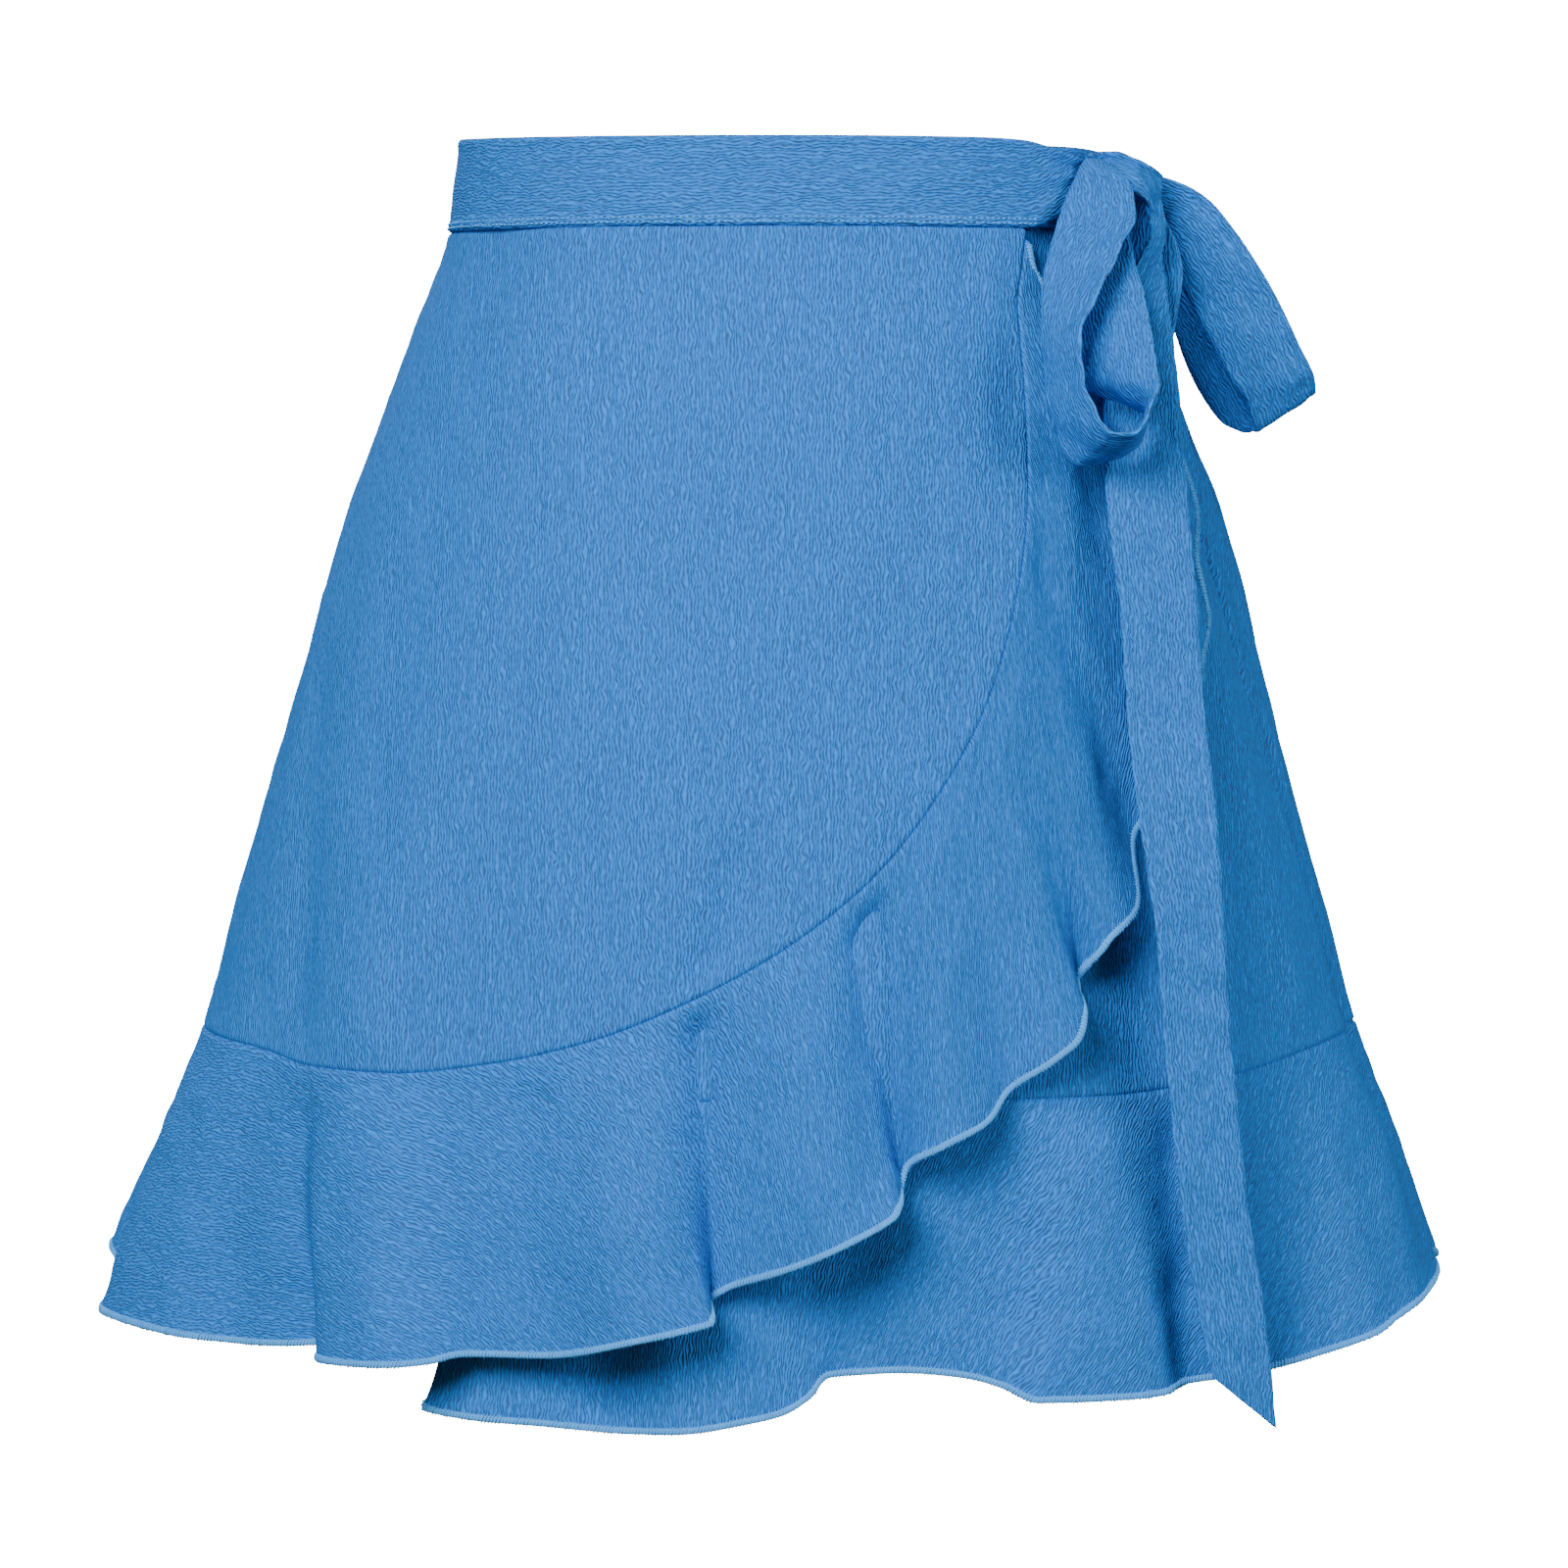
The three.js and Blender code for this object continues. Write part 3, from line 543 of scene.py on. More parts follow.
def flounce_grain(along, down, straight_at, radius):
    """Grain of a piece cut as part of a ring: straight down at one place along its seam."""
    angle = (along - straight_at) / radius
    return np.stack([(radius + down) * np.sin(angle), -(radius + down) * np.cos(angle)], -1)


def panel_grain(turn, height, centre):
    return np.stack(np.broadcast_arrays(round_length(turn, centre, height), height), -1)


# Shader and geometry trees


# The noise is cut at these angles, so that its own grid doesn't show
OBLIQUE = (0.7, 0.5, 0.3)
RIDGE_SHARE = 0.3               # how much of the relief the ridges make, and the pits in them
PIT_SHARE = 0.18
PIT_WIDTH = 0.42                # the pits' size, by the crinkles' pitch and length
PIT_LENGTH = 0.45
PIT_SHARPNESS = 6
BEND_WIDTH = 2                  # the size of the ridges' bends, by their pitch
PATCH_SCALE = 22.0
FIBRE_SCALE = 900.0
FIBRE_DARK = 0.72

# Colours from 0 to 255
CREPE_BLUE = (33, 112, 200)
THREAD_BLUE = (78, 168, 248)
PAPER_WHITE = (250, 250, 250)
# Share of each of the cloth colour's parts that shows in a crinkle's valley and on its ridge: painted shade
# in the valleys, darker and redder, and painted light on the ridges
VALLEY_PAINTED_SHADE = (1.8, 0.6, 0.5, 1)
RIDGE_PAINTED_LIGHT = (0.7, 1.3, 1.35, 1)


def linear(colour):
    """A colour as the eye reads it, from 0 to 255, as Blender's linear colour."""
    parts = [part / 255 for part in colour]
    made = [part / 12.92 if part <= 0.04045 else ((part + 0.055) / 1.055) ** 2.4 for part in parts]
    return (*made, 1)


class Value:
    """A node's output. Python's operators on it add Math nodes."""

    def __init__(self, tree, output):
        self.tree = tree
        self.output = output

    def __add__(self, other):
        return self.tree.maths("ADD", self, other)

    def __radd__(self, other):
        return self.tree.maths("ADD", other, self)

    def __sub__(self, other):
        return self.tree.maths("SUBTRACT", self, other)

    def __rsub__(self, other):
        return self.tree.maths("SUBTRACT", other, self)

    def __mul__(self, other):
        return self.tree.maths("MULTIPLY", self, other)

    def __rmul__(self, other):
        return self.tree.maths("MULTIPLY", other, self)


class Tree:
    """A node tree, with the one method that adds nodes to it."""

    def __init__(self, nodes):
        self.nodes = nodes

    def node(self, kind, settings=None, values=None, output=0):
        """Adds a node, sets it, fills its sockets, and gives one of its outputs."""
        made = self.nodes.nodes.new(kind)
        for name, value in (settings or {}).items():
            setattr(made, name, value)
        for name, value in (values or {}).items():
            if isinstance(value, Value):
                self.nodes.links.new(value.output, made.inputs[name])
            else:
                made.inputs[name].default_value = value
        return Value(self, made.outputs[output]) if len(made.outputs) else made

    def maths(self, operation, *values):
        return self.node("ShaderNodeMath", {"operation": operation}, dict(enumerate(values)))

    def vectors(self, operation, first, second):
        return self.node("ShaderNodeVectorMath", {"operation": operation}, {0: first, 1: second})

    def noise(self, vector, scale, detail, output=0, **more):
        values = {"Vector": vector, "Scale": scale, "Detail": detail, **more}
        return self.node("ShaderNodeTexNoise", values=values, output=output)

    def mixed(self, share, first, second, **settings):
        """A colour between two."""
        settings = {"data_type": "RGBA", **settings}
        return self.node("ShaderNodeMix", settings, {0: share, 6: first, 7: second}, output=2)

    def bump(self, height, distance, strength):
        values = {"Height": height, "Distance": distance, "Strength": strength}
        return self.node("ShaderNodeBump", values=values)

    def surface(self, values):
        """Ends a material with a Principled surface."""
        surface = self.node("ShaderNodeBsdfPrincipled", values=values)
        self.node("ShaderNodeOutputMaterial", values={"Surface": surface})


def new_finish(name):
    """A material with an empty tree."""
    finish = bpy.data.materials.new(name)
    finish.use_nodes = True
    finish.node_tree.nodes.clear()
    return finish, Tree(finish.node_tree)


def crinkle_crepe(name, colour):
    """Crinkle crepe: close, short, slightly wavy crinkles along the cloth's grain, with painted shade in
    their valleys and painted light on their ridges.
    """
    look = bpy.context.scene.skirt_crepe
    finish, tree = new_finish(name)
    grain = tree.node("ShaderNodeUVMap", {"uv_map": GRAIN})
    wander = tree.noise(grain, 1 / look.wander_length, 1.0, output="Color")
    centred = tree.vectors("SUBTRACT", wander, (0.5, 0.5, 0.5))
    waved = tree.vectors("ADD", grain, tree.vectors("MULTIPLY", centred, (look.wander, look.wander, 0)))

    def unevenness(width, length):
        """Noise stretched along the grain, round 0."""
        stretched = tree.vectors("MULTIPLY", waved, (1 / width, 1 / length, 1))
        turned = {"Vector": stretched, "Rotation": OBLIQUE}
        oblique = tree.node("ShaderNodeVectorRotate", {"rotation_type": "EULER_XYZ"}, turned)
        return tree.noise(oblique, 1.0, 0.0) - 0.5

    across = tree.node("ShaderNodeSeparateXYZ", values={0: waved})
    bend = unevenness(look.crinkle_pitch * BEND_WIDTH, look.crinkle_length) * look.forking
    ridges = tree.maths("SINE", across * (math.tau / look.crinkle_pitch) + bend)
    pits = unevenness(look.crinkle_pitch * PIT_WIDTH, look.crinkle_length * PIT_LENGTH)
    pits = tree.maths("TANH", pits * PIT_SHARPNESS)
    relief = ridges * RIDGE_SHARE + pits * PIT_SHARE + 0.5
    patches = tree.noise(grain, PATCH_SCALE, 2.0) - 0.5
    # Painted shade and light: the relief darkens the colour in the crinkles' valleys and lightens it on their
    # ridges; the patches are soft changes of the cloth's own tone
    shade = relief * look.contrast + (0.5 - look.contrast * 0.5) + patches * look.patchiness
    valley, ridge = (
        tuple(part * share for part, share in zip(colour, shares)) for shares in (VALLEY_PAINTED_SHADE, RIDGE_PAINTED_LIGHT)
    )
    tree.surface({
        "Base Color": tree.mixed(shade, valley, ridge, clamp_factor=False), "Roughness": 0.9,
        "Normal": tree.bump(relief, look.relief, 1.0), "Specular IOR Level": look.gloss,
    })
    return finish


def sewing_thread(name, colour):
    """Fine twisted thread, a little glossier than the cloth."""
    finish, tree = new_finish(name)
    place = tree.node("ShaderNodeTexCoord", output="Object")
    fibres = tree.noise(place, FIBRE_SCALE, 2.0, Roughness=0.6)
    dark = (*(part * FIBRE_DARK for part in colour[:3]), 1)
    tree.surface({
        "Base Color": tree.mixed(fibres, dark, colour), "Roughness": 0.7,
        "Normal": tree.bump(fibres, 0.0002, 0.6), "Specular IOR Level": 0.1,
    })
    return finish


def finish_for(slot):
    """The finish of a material slot, made once."""
    made = bpy.data.materials.get("skirt_" + slot)
    if made:
        return made
    colours = bpy.context.scene.skirt_colours
    if slot == "thread":
        return sewing_thread("skirt_thread", (*colours.thread, 1))
    return crinkle_crepe("skirt_" + slot, (*getattr(colours, slot), 1))


def stitch_tree(shape):
    """Stitches along lines: loops over an edge, or dashes of topstitching. Each line's
    points carry the way into the cloth. Sizes are named inputs."""
    group = bpy.data.node_groups.new("skirt_" + shape, "GeometryNodeTree")
    kinds = {name: "Float" for name in ("Pitch", "Thread", "Length", "Height")}
    kinds = {"Geometry": "Geometry", **kinds, "Thread finish": "Material"}
    sockets = {
        name: group.interface.new_socket(name, in_out="INPUT", socket_type="NodeSocket" + kind)
        for name, kind in kinds.items()
    }
    group.interface.new_socket("Geometry", in_out="OUTPUT", socket_type="NodeSocketGeometry")
    tree = Tree(group)
    group_input = group.nodes.new("NodeGroupInput")
    given = {name: Value(tree, group_input.outputs[name]) for name in sockets}
    curve = tree.node("GeometryNodeMeshToCurve", values={"Mesh": given["Geometry"]})
    points = tree.node(
        "GeometryNodeResampleCurve", {"mode": "LENGTH"}, {"Curve": curve, "Length": given["Pitch"]}
    )
    inwards = tree.node(
        "GeometryNodeInputNamedAttribute", {"data_type": "FLOAT_VECTOR"}, {"Name": INWARDS}
    )
    along = tree.node("GeometryNodeInputTangent")
    ahead = tree.node("FunctionNodeAlignRotationToVector", {"axis": "Z"}, {"Vector": along})
    turned = tree.node(
        "FunctionNodeAlignRotationToVector", {"axis": "X", "pivot_axis": "Z"},
        {"Rotation": ahead, "Vector": inwards},
    )
    if shape == "loops":
        ring = tree.node(CIRCLE, values={"Resolution": LOOP_CORNERS, "Radius": 0.5})
        profile = tree.node(CIRCLE, values={"Resolution": THREAD_CORNERS, "Radius": given["Thread"] * 0.5})
        size = tree.node("ShaderNodeCombineXYZ", values={0: given["Length"], 1: given["Height"], 2: 1.0})
        slanted = {"Geometry": ring, "Scale": size, "Rotation": (0.0, LOOP_SLANT, 0.0)}
        flat = tree.node("GeometryNodeTransform", values=slanted)
        stitch = tree.node("GeometryNodeCurveToMesh", values={"Curve": flat, "Profile Curve": profile})
    else:
        ball = tree.node("GeometryNodeMeshUVSphere", values={"Segments": 6, "Rings": 5, "Radius": 0.5})
        sizes = {0: given["Thread"], 1: given["Height"], 2: given["Length"]}
        size = tree.node("ShaderNodeCombineXYZ", values=sizes)
        stitch = tree.node("GeometryNodeTransform", values={"Geometry": ball, "Scale": size})
    spread = {2: LEAST_STITCH, 3: LARGEST_STITCH, "Seed": STITCH_SEED}
    unevenness = tree.node("FunctionNodeRandomValue", {"data_type": "FLOAT"}, spread, output=1)
    placed = tree.node(
        "GeometryNodeInstanceOnPoints",
        values={"Points": points, "Instance": stitch, "Rotation": turned, "Scale": unevenness},
    )
    real = tree.node("GeometryNodeRealizeInstances", values={"Geometry": placed})
    sewn = tree.node(
        "GeometryNodeSetMaterial", values={"Geometry": real, "Material": given["Thread finish"]}
    )
    tree.node("NodeGroupOutput", values={"Geometry": sewn})
    return group, sockets


def sew(name, shape, lines, pitch, thread, length, height):
    """Real stitches along lines. Each line is its points and the way into the cloth at
    each, in millimetres."""
    vertices = np.concatenate([points for points, inwards in lines]) * MM
    ways = np.concatenate([inwards for points, inwards in lines])
    edges, start = [], 0
    for points, inwards in lines:
        edges += [(start + step, start + step + 1) for step in range(len(points) - 1)]
        start += len(points)
    path = bpy.data.meshes.new(name + "_path")
    path.from_pydata(vertices.tolist(), edges, [])
    path.attributes.new(INWARDS, "FLOAT_VECTOR", "POINT").data.foreach_set("vector", ways.ravel())
    piece = show(name, path)
    group, sockets = stitch_tree(shape)
    stitches = piece.modifiers.new("stitches", "NODES")
    stitches.node_group = group
    values = {"Pitch": pitch, "Thread": thread, "Length": length, "Height": height}
    for label, value in values.items():
        stitches[sockets[label].identifier] = value
    stitches[sockets["Thread finish"].identifier] = finish_for("thread")
    seen = piece.evaluated_get(bpy.context.evaluated_depsgraph_get())
    mesh = bpy.data.meshes.new_from_object(seen)
    piece.modifiers.clear()
    piece.data = mesh
    mesh.name = name
    mesh.polygons.foreach_set("use_smooth", np.ones(len(mesh.polygons), bool))
    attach(piece, "root")


# Property groups


def number_property(name, description, default, **kind):
    return FloatProperty(name=name, description=description, default=default, **kind)


def length_property(name, description, default):
    return number_property(name, description, default, unit="LENGTH")


def share_property(name, description, default):
    return number_property(name, description, default, subtype="FACTOR")


def power_property(name, description, default):
    return number_property(name, description, default, unit="POWER")


def colour_property(name, description, default):
    return FloatVectorProperty(name=name, description=description, default=linear(default)[:3], size=3,
                               min=0, max=1, subtype="COLOR")


class SkirtCloth(bpy.types.PropertyGroup):
    """The cloth's own sizes."""

    thickness: length_property("Cloth", "Thickness of one layer", 0.0007)
    folded: length_property("Folded cloth", "Thickness of the folded band and ties", 0.0017)
    unevenness: length_property("Unevenness", "How far the worn cloth strays from a smooth form", 0.0007)


class SkirtCrepe(bpy.types.PropertyGroup):
    """The crinkles of the crepe."""

    crinkle_pitch: length_property("Crinkle pitch", "From one crinkle to the next", 0.00118)
    crinkle_length: length_property("Crinkle length", "How far a crinkle runs on", 0.0043)
    relief: length_property("Relief", "Height of the crinkles", 0.00045)
    forking: number_property("Forking", "How often crinkles fork and end", 11.0)
    wander: length_property("Wander", "How far crinkles stray sideways", 0.0014)
    wander_length: length_property("Wander length", "How soon they stray back", 0.004)
    # Painted shade: how far the colour darkens in the crinkles' valleys and lightens on their ridges
    contrast: share_property("Contrast", "How much darker the valleys are", 1.4)
    patchiness: share_property("Patchiness", "Soft changes of tone", 0.08)
    gloss: share_property("Gloss", "Light that the fibres throw back", 0.03)


class SkirtColours(bpy.types.PropertyGroup):
    """The colours of the cloth and thread."""

    panel: colour_property("Panels", "Crepe of the panels", CREPE_BLUE)
    band: colour_property("Waistband", "Crepe of the band", CREPE_BLUE)
    ruffle: colour_property("Flounces", "Crepe of the flounces", CREPE_BLUE)
    tie: colour_property("Ties", "Crepe of the bow", CREPE_BLUE)
    thread: colour_property("Thread", "Overlock and topstitch thread", THREAD_BLUE)


class SkirtStitches(bpy.types.PropertyGroup):
    """Overlocked edges and topstitching."""

    overlock_pitch: length_property("Overlock pitch", "Between two stitches of an edge", 0.0012)
    overlock_width: length_property("Overlock width", "How deep the edge's stitches reach", 0.0028)
    overlock_height: length_property("Overlock height", "Thickness of the sewn edge", 0.0017)
    topstitch_pitch: length_property("Topstitch pitch", "Between two stitches of a row", 0.0022)
    thread: length_property("Thread", "Diameter of the thread", 0.0005)


class SkirtStudio(bpy.types.PropertyGroup):
    """Floor, light and camera."""

    floor: length_property("Floor height", "Height of the floor", -0.85)
    floor_size: length_property("Floor size", "Radius of the floor", 14.0)
    paleness: number_property("Paleness", "Light that floor and backdrop give off", 17.0)
    key: power_property("Key light", "Power of the large light in front", 115.0)
    fill: power_property("Fill light", "Power of the light at the side", 50.0)
    back: power_property("Back light", "Power of the light behind", 60.0)
    ambient: number_property("Ambient", "Strength of the light from all round", 0.28)
    camera_distance: length_property("Camera distance", "From the camera to the body's middle", 2.2)
    lens: number_property("Lens", "Focal length", 141.68, unit="CAMERA")


# Pieces


def evened(values, reach):
    """Columns averaged with their neighbours, but not at the two ends."""
    count = len(values)
    at = np.arange(count)
    sums = np.concatenate([np.zeros_like(values[:1]), np.cumsum(values, axis=0)])
    near = np.minimum(reach, np.minimum(at, count - 1 - at))
    return ((sums[at + near + 1] - sums[at - near]).T / (2 * near + 1)).T


def flare(share, covered):
    """How far out a flounce stands at a share of its fall. Where the wrap covers it, it falls
    inwards at once."""
    return mix(share**FLARE_EASE, 1 - (1 - share) ** TUCK_EASE, covered)


def flounce_points(turns, heights, outs, hem, covered, creases, seed, cut_ends, steps):
    """Points of a flounce from its seam to its hem, with the lengths along and down to them."""
    down = shares(steps)[None, :]
    trend = evened(hem["turn"], HEM_BEND_COLUMNS)
    bend = (hem["turn"] - trend)[:, None] * down**HEM_BEND_EASE
    turn = np.clip(mix(turns[:, None], trend[:, None], down) + bend, *cut_ends)
    height = mix(heights[:, None], hem["height"][:, None], down)
    out = mix(outs[:, None], hem["out"][:, None], flare(down, covered))
    smooth_cloth = form(turn, height, out)
    distance = lengths(smooth_cloth, 1)
    along = lengths(smooth_cloth[:, :1], 0) + 0 * distance
    own = bumps(along, distance, seed, FLOUNCE_BUMPS) * setting("cloth", "unevenness")
    own = own + crease_out(creases, turn, height)
    out = out + own * soft_step(distance / FLOUNCE_CALM) + tuck(distance)
    return form(turn, height, out), along, evened(distance, HEM_BEND_COLUMNS)


def outer_seam(per_row):
    """The outer flounce's hem and its place on the wrap seam, with the seam's steepness."""
    hem = fine_rows(OUTER_HEM, per_row)
    turn, height, level = wrap_seam(hem["run"] / OUTER_HEM["run"][-1] * WRAP_LENGTH)
    return hem, np.maximum(turn, -SIDE), height, level


def outer_flounce():
    hem, turn, height = outer_seam(14)[:3]
    out = outer_out(turn, height)
    points, along, down = flounce_points(
        turn, height, out, hem, 0, OUTER_FLOUNCE_CREASES, 11, (-SIDE, SIDE), 56
    )
    return points, flounce_grain(along, down, OUTER_STRAIGHT, OUTER_RING)


def level_flounce(rows, per_row, creases, seed, cut_ends, straight_at, radius):
    hem = fine_rows(rows, per_row)
    turn = hem["seam"]
    height = smooth(LEVEL_SEAM, "turn", "height", turn)
    covered = 1 - soft_step((turn[:, None] - COVERED_TO) / COVERED_TURNS)
    out = fold_out(turn, height)
    points, along, down = flounce_points(turn, height, out, hem, covered, creases, seed, cut_ends, 50)
    return points, flounce_grain(along, down, straight_at, radius)


def under_flounce():
    return level_flounce(UNDER_HEM, 13, UNDER_FLOUNCE_CREASES, 51, (-SIDE, SIDE), 350, 380)


def back_flounce():
    return level_flounce(BACK_HEM, 16, BACK_FLOUNCE_CREASES, 61, (SIDE, 3 * SIDE), 300, 330)


FLOUNCES = {"outer": outer_flounce, "under": under_flounce, "back": back_flounce}


def panel_points(turn, height, out, creases, seed, from_seam):
    """Points of a panel with its folds, creases and tucked seams."""
    inside = soft_step(from_seam / PANEL_CALM)
    rough = bumps(round_length(turn, 0, height), height / PANEL_BUMP_STRETCH, seed, PANEL_BUMPS)
    own = rough * setting("cloth", "unevenness") * inside
    out = out + own + crease_out(creases, turn, height) * inside
    return form(turn, height, out + tuck(from_seam) + side_tuck(turn, height))


def outer_panel():
    hem, turn, height, level = outer_seam(10)
    down = shares(84, towards_both=True)[None, :]
    turns = turn[:, None] + 0 * down
    heights = mix(WAIST_SEAM, height[:, None], down)
    from_seam = np.minimum(WAIST_SEAM - heights, (heights - height[:, None]) * level[:, None])
    points = panel_points(turns, heights, outer_out(turns, heights), OUTER_PANEL_CREASES, 21, from_seam)
    return points, panel_grain(turns, heights, 0)


def level_panel(start, end, columns, centre, seed):
    turns = np.linspace(start, end, columns + 1)[:, None]
    bottom = smooth(LEVEL_SEAM, "turn", "height", turns)
    heights = mix(WAIST_SEAM, bottom, shares(70, towards_both=True)[None, :])
    turns = turns + 0 * heights
    from_seam = np.minimum(WAIST_SEAM - heights, heights - bottom)
    points = panel_points(turns, heights, fold_out(turns, heights), LEVEL_PANEL_CREASES, seed, from_seam)
    return points, panel_grain(turns, heights, centre)


def surface_normals(points):
    return unit(np.cross(np.gradient(points, axis=0), np.gradient(points, axis=1)))


def over_and_back(top, below):
    """Columns over a strip and back below it."""
    return np.concatenate([top, below[:, -2:0:-1]], axis=1)


def folded_mesh(name, points):
    """A strip of folded cloth with rounded edges."""
    place = np.abs(2 * EDGE_STEPS - 1)
    groove = GROOVE_SHARE * bump((place - GROOVE_AT) / GROOVE_WIDTH)
    bead = 1 + EDGE_BEAD * (bump((place - BEAD_AT) / BEAD_WIDTH) - groove)
    half = setting("cloth", "folded") / 2 * bead * (1 - place**EDGE_ROUNDNESS) ** 0.5
    aside = surface_normals(points) * half[None, :, None]
    grain = np.stack([over_and_back(side, side) for side in (lengths(points, 1), lengths(points, 0))], -1)
    return grid_mesh(name, over_and_back(points + aside, points - aside), grain, ring=True)


def folded_piece(name, node, slot, points):
    """A strip of folded cloth in place of its solid."""
    wear(show(name, folded_mesh(name, points)), slot, node)


def band_points(rows, start, end, columns, gather, seed):
    """Points of a length of waistband, gathered towards the knot where it enters it."""
    turns = np.linspace(start, end, columns + 1)[:, None]
    up = EDGE_STEPS[None, :]
    low, high = smooth(rows, "turn", "low", turns), smooth(rows, "turn", "high", turns)
    out = smooth(rows, "turn", "out", turns) + 0 * up
    height = mix(low, high, up)
    turns = turns + 0 * up
    around = round_length(turns, 0, height)
    uneven = BAND_CALM * setting("cloth", "unevenness")
    out = out + uneven * sway(around / BAND_BUMP_STRETCH, height, BAND_BUMP, seed)
    if gather:
        share = soft_step((turns - GATHER_FROM) / GATHER_TURNS)
        wave = GATHER_FOLDS * up + GATHER_WANDER * np.sin(around / GATHER_WANDER_LENGTH)
        out = out + share * GATHER_DEPTH * np.sin(2 * np.pi * wave)
    out = out + side_tuck(turns, height) + tuck(height - low)
    return form(turns, height, out)


def strip_points(rows, per_row, seed):
    """Points of a tie between its two edges, a little uneven."""
    path = fine_rows(rows, per_row)
    near, far = (
        np.stack([path[edge + axis] for axis in "xyz"], -1)[:, None] for edge in ("near_", "far_")
    )
    points = mix(near, far, EDGE_STEPS[None, :, None])
    along = lengths(points, 0)
    across = lengths(points, 1)
    rough = TIE_BUMP_LARGE * sway(across, along, TIE_BUMP, seed)
    rough = rough + TIE_BUMP_SMALL * sway(across, along, TIE_BUMP / 2, seed + 1)
    edge = np.abs(2 * EDGE_STEPS - 1)[None, :] ** 3
    wavy = edge * RIM_WAVE * sway(across * 0 + seed * RIM_PLACE, along, RIM_WAVE_LENGTH, seed + 2)
    return points + surface_normals(points) * (rough + wavy)[..., None]


def knot_points():
    """The wound middle of the bow: a lump with folds that run round it."""
    lap = np.linspace(0, 2 * np.pi, 97)[:-1]
    pole = np.linspace(KNOT_POLE, np.pi - KNOT_POLE, 49)
    pole, lap = np.meshgrid(pole, lap, indexing="ij")
    folds = 1 + KNOT_FOLD_DEPTH * np.cos(5 * pole + 0.8 * np.sin(lap))
    folds = folds + KNOT_DENT_DEPTH * np.cos(2 * lap + pole)
    size = np.array(KNOT_HALF) * KNOT_UNDER_LAP
    x = np.cos(pole) * size[0]
    y = np.sin(pole) * np.cos(lap) * size[1] * folds
    z = np.sin(pole) * np.sin(lap) * size[2] * folds
    cos, sin = math.cos(math.radians(KNOT_TILT)), math.sin(math.radians(KNOT_TILT))
    turned = np.stack([x * cos + z * sin, y, -x * sin + z * cos], -1)
    return turned + KNOT_PLACE, np.stack([pole, lap], -1) * KNOT_GRAIN


def lap_points():
    """The tie's lap over the knot, with folds that run along it."""
    points = strip_points(KNOT_LAP, 16, 86)
    across = np.linspace(0, 1, points.shape[1])[None, :]
    along = np.linspace(0, 1, len(points))[:, None]
    folds = LAP_FOLD_DEPTH * np.sin(2 * np.pi * (LAP_FOLDS * across + LAP_FOLD_WANDER * np.sin(4 * along)))
    return points + surface_normals(points) * folds[..., None]


# Operators


class SKIRT_OT_panels(bpy.types.Operator):
    """Makes the outer, under and back panel"""

    bl_idname = "skirt.panels"
    bl_label = "Panels"

    def execute(self, context):
        panels = {
            "outer": outer_panel(),
            "under": level_panel(UNDERLAP_EDGE, SIDE, 190, 0, 31),
            "back": level_panel(SIDE, 3 * SIDE, 250, 180, 41),
        }
        for layer, (points, grain) in panels.items():
            single_layer(layer + "_panel", "panel_" + layer, "panel", points, grain)
        return {"FINISHED"}


class SKIRT_OT_flounces(bpy.types.Operator):
    """Makes the three flounces of the hem"""

    bl_idname = "skirt.flounces"
    bl_label = "Flounces"

    def execute(self, context):
        for layer, flounce in FLOUNCES.items():
            single_layer(layer + "_flounce", "ruffle_" + layer, "ruffle", *flounce())
        return {"FINISHED"}


class SKIRT_OT_waistband(bpy.types.Operator):
    """Makes the waistband in its three lengths"""

    bl_idname = "skirt.waistband"
    bl_label = "Waistband"

    def execute(self, context):
        bands = {
            "outer": (OUTER_BAND, -SIDE, BAND_END, 300, True, 71),
            "under": (LEVEL_BAND, UNDERLAP_EDGE, SIDE, 180, False, 72),
            "back": (LEVEL_BAND, SIDE, 3 * SIDE, 260, False, 73),
        }
        for layer, sizes in bands.items():
            folded_piece(layer + "_waistband", "waistband_" + layer, "band", band_points(*sizes))
        return {"FINISHED"}


class SKIRT_OT_bow(bpy.types.Operator):
    """Makes the bow: its knot, loops, ends and the root of the second tie"""

    bl_idname = "skirt.bow"
    bl_label = "Bow"

    def execute(self, context):
        strips = [
            ("front_loop", "loop_front", FRONT_LOOP, 16, 81),
            ("side_loop", "loop_side", SIDE_LOOP, 18, 82),
            ("front_tie_end", "tail_front", FRONT_TAIL, 18, 83),
            ("back_tie_end", "tail_back", BACK_TAIL, 16, 84),
        ]
        for name, node, rows, per_row, seed in strips:
            folded_piece(name, node, "tie", strip_points(rows, per_row, seed))
        root = band_points(TIE_ROOT, TIE_SEWN, TIE_ROOT_END, 30, False, 85)
        folded_piece("tie_root_strip", "tie_root", "tie", root)
        wound = grid_mesh("bow_knot", *knot_points(), ring=True)
        wear(show("bow_knot", joined([wound, folded_mesh("knot_lap", lap_points())])), "tie", "knot")
        return {"FINISHED"}


def edge_line(points, inwards):
    """The line of an edge with the way into the cloth at each point."""
    ways = inwards - points
    along = unit(np.gradient(points, axis=0))
    ways -= along * np.sum(ways * along, axis=1, keepdims=True)
    return points, unit(ways), along


def edge_roll(name, line, half_width, half_height):
    """The rolled edge that overlock stitches wrap."""
    points, ways, along = line
    up = np.cross(ways, along)
    angles = np.linspace(0, 2 * np.pi, ROLL_SIDES + 1)[:-1]
    inward = ways[:, None] * (np.cos(angles)[None, :, None] + ROLL_SETBACK) * half_width
    ring = points[:, None] + inward + up[:, None] * np.sin(angles)[None, :, None] * half_height
    run = lengths(points[:, None], 0)
    grain = np.stack(np.broadcast_arrays(angles * half_width, run), -1)
    return grid_mesh(name, ring, grain, ring=True)


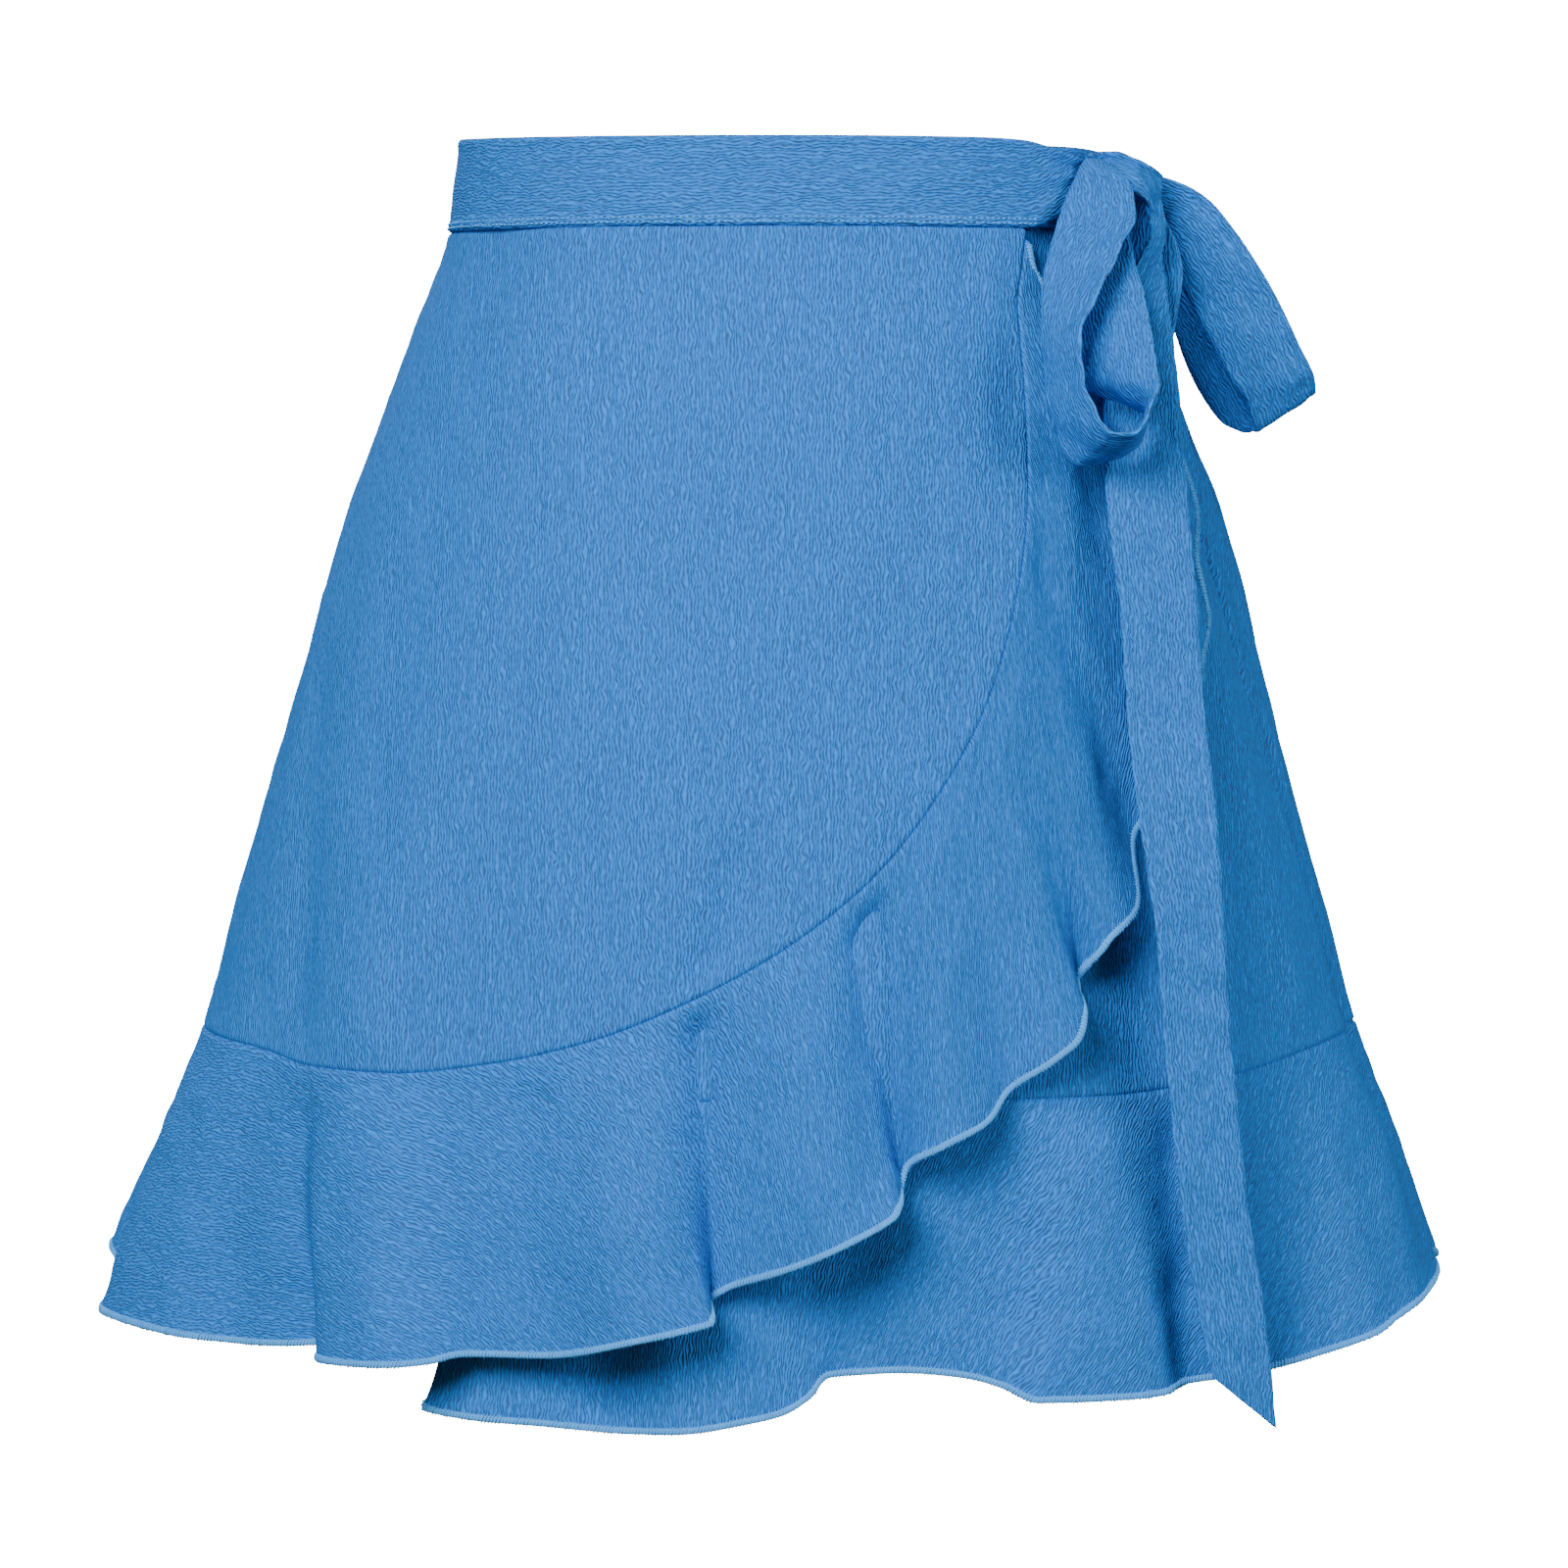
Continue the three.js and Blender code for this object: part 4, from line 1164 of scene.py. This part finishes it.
class SKIRT_OT_overlock(bpy.types.Operator):
    """Overlocks the free edges of the flounces with light thread"""

    bl_idname = "skirt.overlock"
    bl_label = "Overlocked edges"

    def execute(self, context):
        stitches = context.scene.skirt_stitches
        width, height = setting("stitches", "overlock_width"), setting("stitches", "overlock_height")
        for layer, flounce in FLOUNCES.items():
            name = layer + "_overlock"
            points = flounce()[0]
            line = edge_line(points[:, -1], points[:, -4])
            roll = edge_roll(name + "_roll", line, width * ROLL_WIDTH, height * ROLL_HEIGHT)
            wear(show(name + "_roll", roll), "thread")
            middle = line[0] + line[1] * width * STITCH_SETBACK
            sew(name, "loops", [(middle, line[1])], stitches.overlock_pitch, stitches.thread,
                stitches.overlock_width, stitches.overlock_height)
        return {"FINISHED"}


class SKIRT_OT_topstitch(bpy.types.Operator):
    """Sews two rows of topstitching along the bottom of the waistband"""

    bl_idname = "skirt.topstitch"
    bl_label = "Topstitching"

    def execute(self, context):
        stitches = context.scene.skirt_stitches
        lines = []
        for rows, start, end in [(OUTER_BAND, -SIDE, TOPSTITCH_END), (LEVEL_BAND, SIDE, 3 * SIDE)]:
            turns = np.linspace(start, end, 400)
            out = smooth(rows, "turn", "out", turns) + setting("cloth", "folded") / 2
            for rise in TOPSTITCH_RISES:
                height = smooth(rows, "turn", "low", turns) + rise
                points = form(turns, height, out)
                ways = form(turns, height, out - 1) - points
                lines.append((points, ways))
        sew("waist_topstitch", "dashes", lines, stitches.topstitch_pitch, TOPSTITCH_WIDTH,
            stitches.topstitch_pitch * TOPSTITCH_FILL, TOPSTITCH_HEIGHT)
        return {"FINISHED"}


# Each lamp's place and size, in metres; the settings hold its power
LAMPS = {
    "key": ((-1.0, -2.1, 1.1), 1.5),
    "fill": ((2.2, -1.3, 0.5), 1.6),
    "back": ((-0.6, 2.2, 1.4), 1.6),
}
LAMP_AIM = (0, 0, -0.2)
AMBIENT_TONE = (1, 0.68, 0.4, 1)
CAMERA_X = 0.001
CAMERA_HEIGHT = -0.08175
CAMERA_AIM = (CAMERA_X, 0, -0.21175)
SENSOR_WIDTH = 36


def aimed(name, data, place, aim):
    """A lamp or camera at a place, turned to another."""
    made = show(name, data)
    made.location = place
    made.rotation_euler = (Vector(aim) - Vector(place)).to_track_quat("-Z", "Y").to_euler()
    return made


class SKIRT_OT_studio(bpy.types.Operator):
    """Makes the floor, the soft lights and the camera"""

    bl_idname = "skirt.studio"
    bl_label = "Studio"

    def execute(self, context):
        studio = context.scene.skirt_studio
        finish, tree = new_finish("floor_paint")
        tree.surface({
            "Base Color": linear(PAPER_WHITE), "Roughness": 0.9, "Emission Color": (1, 1, 1, 1),
            "Emission Strength": studio.paleness,
        })
        finish.cycles.emission_sampling = "NONE"
        floor, dome = bpy.data.meshes.new("floor"), bpy.data.meshes.new("backdrop")
        angles = np.linspace(0, 2 * np.pi, 65)[:-1]
        radius = studio.floor_size
        rim = [(radius * math.cos(angle), radius * math.sin(angle), studio.floor) for angle in angles]
        floor.from_pydata(rim, [], [list(range(len(rim)))])
        shape = bmesh.new()
        bmesh.ops.create_uvsphere(shape, u_segments=48, v_segments=24, radius=radius)
        shape.to_mesh(dome)
        shape.free()
        for mesh in (floor, dome):
            mesh.materials.append(finish)
            part = show(mesh.name, mesh)
            part.visible_diffuse = False
            part.visible_glossy = False
            part.visible_shadow = False
        world = bpy.data.worlds.new("studio")
        world.use_nodes = True
        world.node_tree.nodes.clear()
        sky = Tree(world.node_tree)
        light = sky.node("ShaderNodeBackground", values={"Color": AMBIENT_TONE, "Strength": studio.ambient})
        sky.node("ShaderNodeOutputWorld", values={"Surface": light})
        context.scene.world = world
        for name, (place, size) in LAMPS.items():
            lamp = bpy.data.lights.new(name + "_light", "AREA")
            lamp.energy = getattr(studio, name)
            lamp.shape = "DISK"
            lamp.size = size
            aimed(name + "_light", lamp, place, LAMP_AIM)
        view = bpy.data.cameras.new("camera")
        view.lens = studio.lens
        view.sensor_width = SENSOR_WIDTH
        place = (CAMERA_X, -studio.camera_distance, CAMERA_HEIGHT)
        context.scene.camera = aimed("camera", view, place, CAMERA_AIM)
        return {"FINISHED"}


class SKIRT_PT_sidebar(bpy.types.Panel):
    """Lists the skirt's settings and its pieces"""

    bl_idname = "SKIRT_PT_sidebar"
    bl_label = "Mini skirt"
    bl_space_type = "VIEW_3D"
    bl_region_type = "UI"
    bl_category = "Skirt"

    def draw(self, context):
        for group in SETTINGS:
            box = self.layout.box()
            settings = getattr(context.scene, group)
            for name in settings.__annotations__:
                box.prop(settings, name)
        for operator in OPERATORS:
            self.layout.operator(operator.bl_idname)


SETTINGS = {
    "skirt_cloth": SkirtCloth, "skirt_crepe": SkirtCrepe, "skirt_colours": SkirtColours,
    "skirt_stitches": SkirtStitches, "skirt_studio": SkirtStudio,
}
OPERATORS = [
    SKIRT_OT_studio, SKIRT_OT_panels, SKIRT_OT_flounces, SKIRT_OT_waistband, SKIRT_OT_bow,
    SKIRT_OT_overlock, SKIRT_OT_topstitch,
]


def register():
    for group in SETTINGS.values():
        bpy.utils.register_class(group)
    for name, group in SETTINGS.items():
        setattr(bpy.types.Scene, name, PointerProperty(type=group))
    for operator in [*OPERATORS, SKIRT_PT_sidebar]:
        bpy.utils.register_class(operator)


def unregister():
    for operator in [SKIRT_PT_sidebar, *reversed(OPERATORS)]:
        bpy.utils.unregister_class(operator)
    for name, group in SETTINGS.items():
        delattr(bpy.types.Scene, name)
        bpy.utils.unregister_class(group)


def main():
    register()
    for operator in OPERATORS:
        family, name = operator.bl_idname.split(".")
        getattr(getattr(bpy.ops, family), name)()


if __name__ == "__main__":
    main()
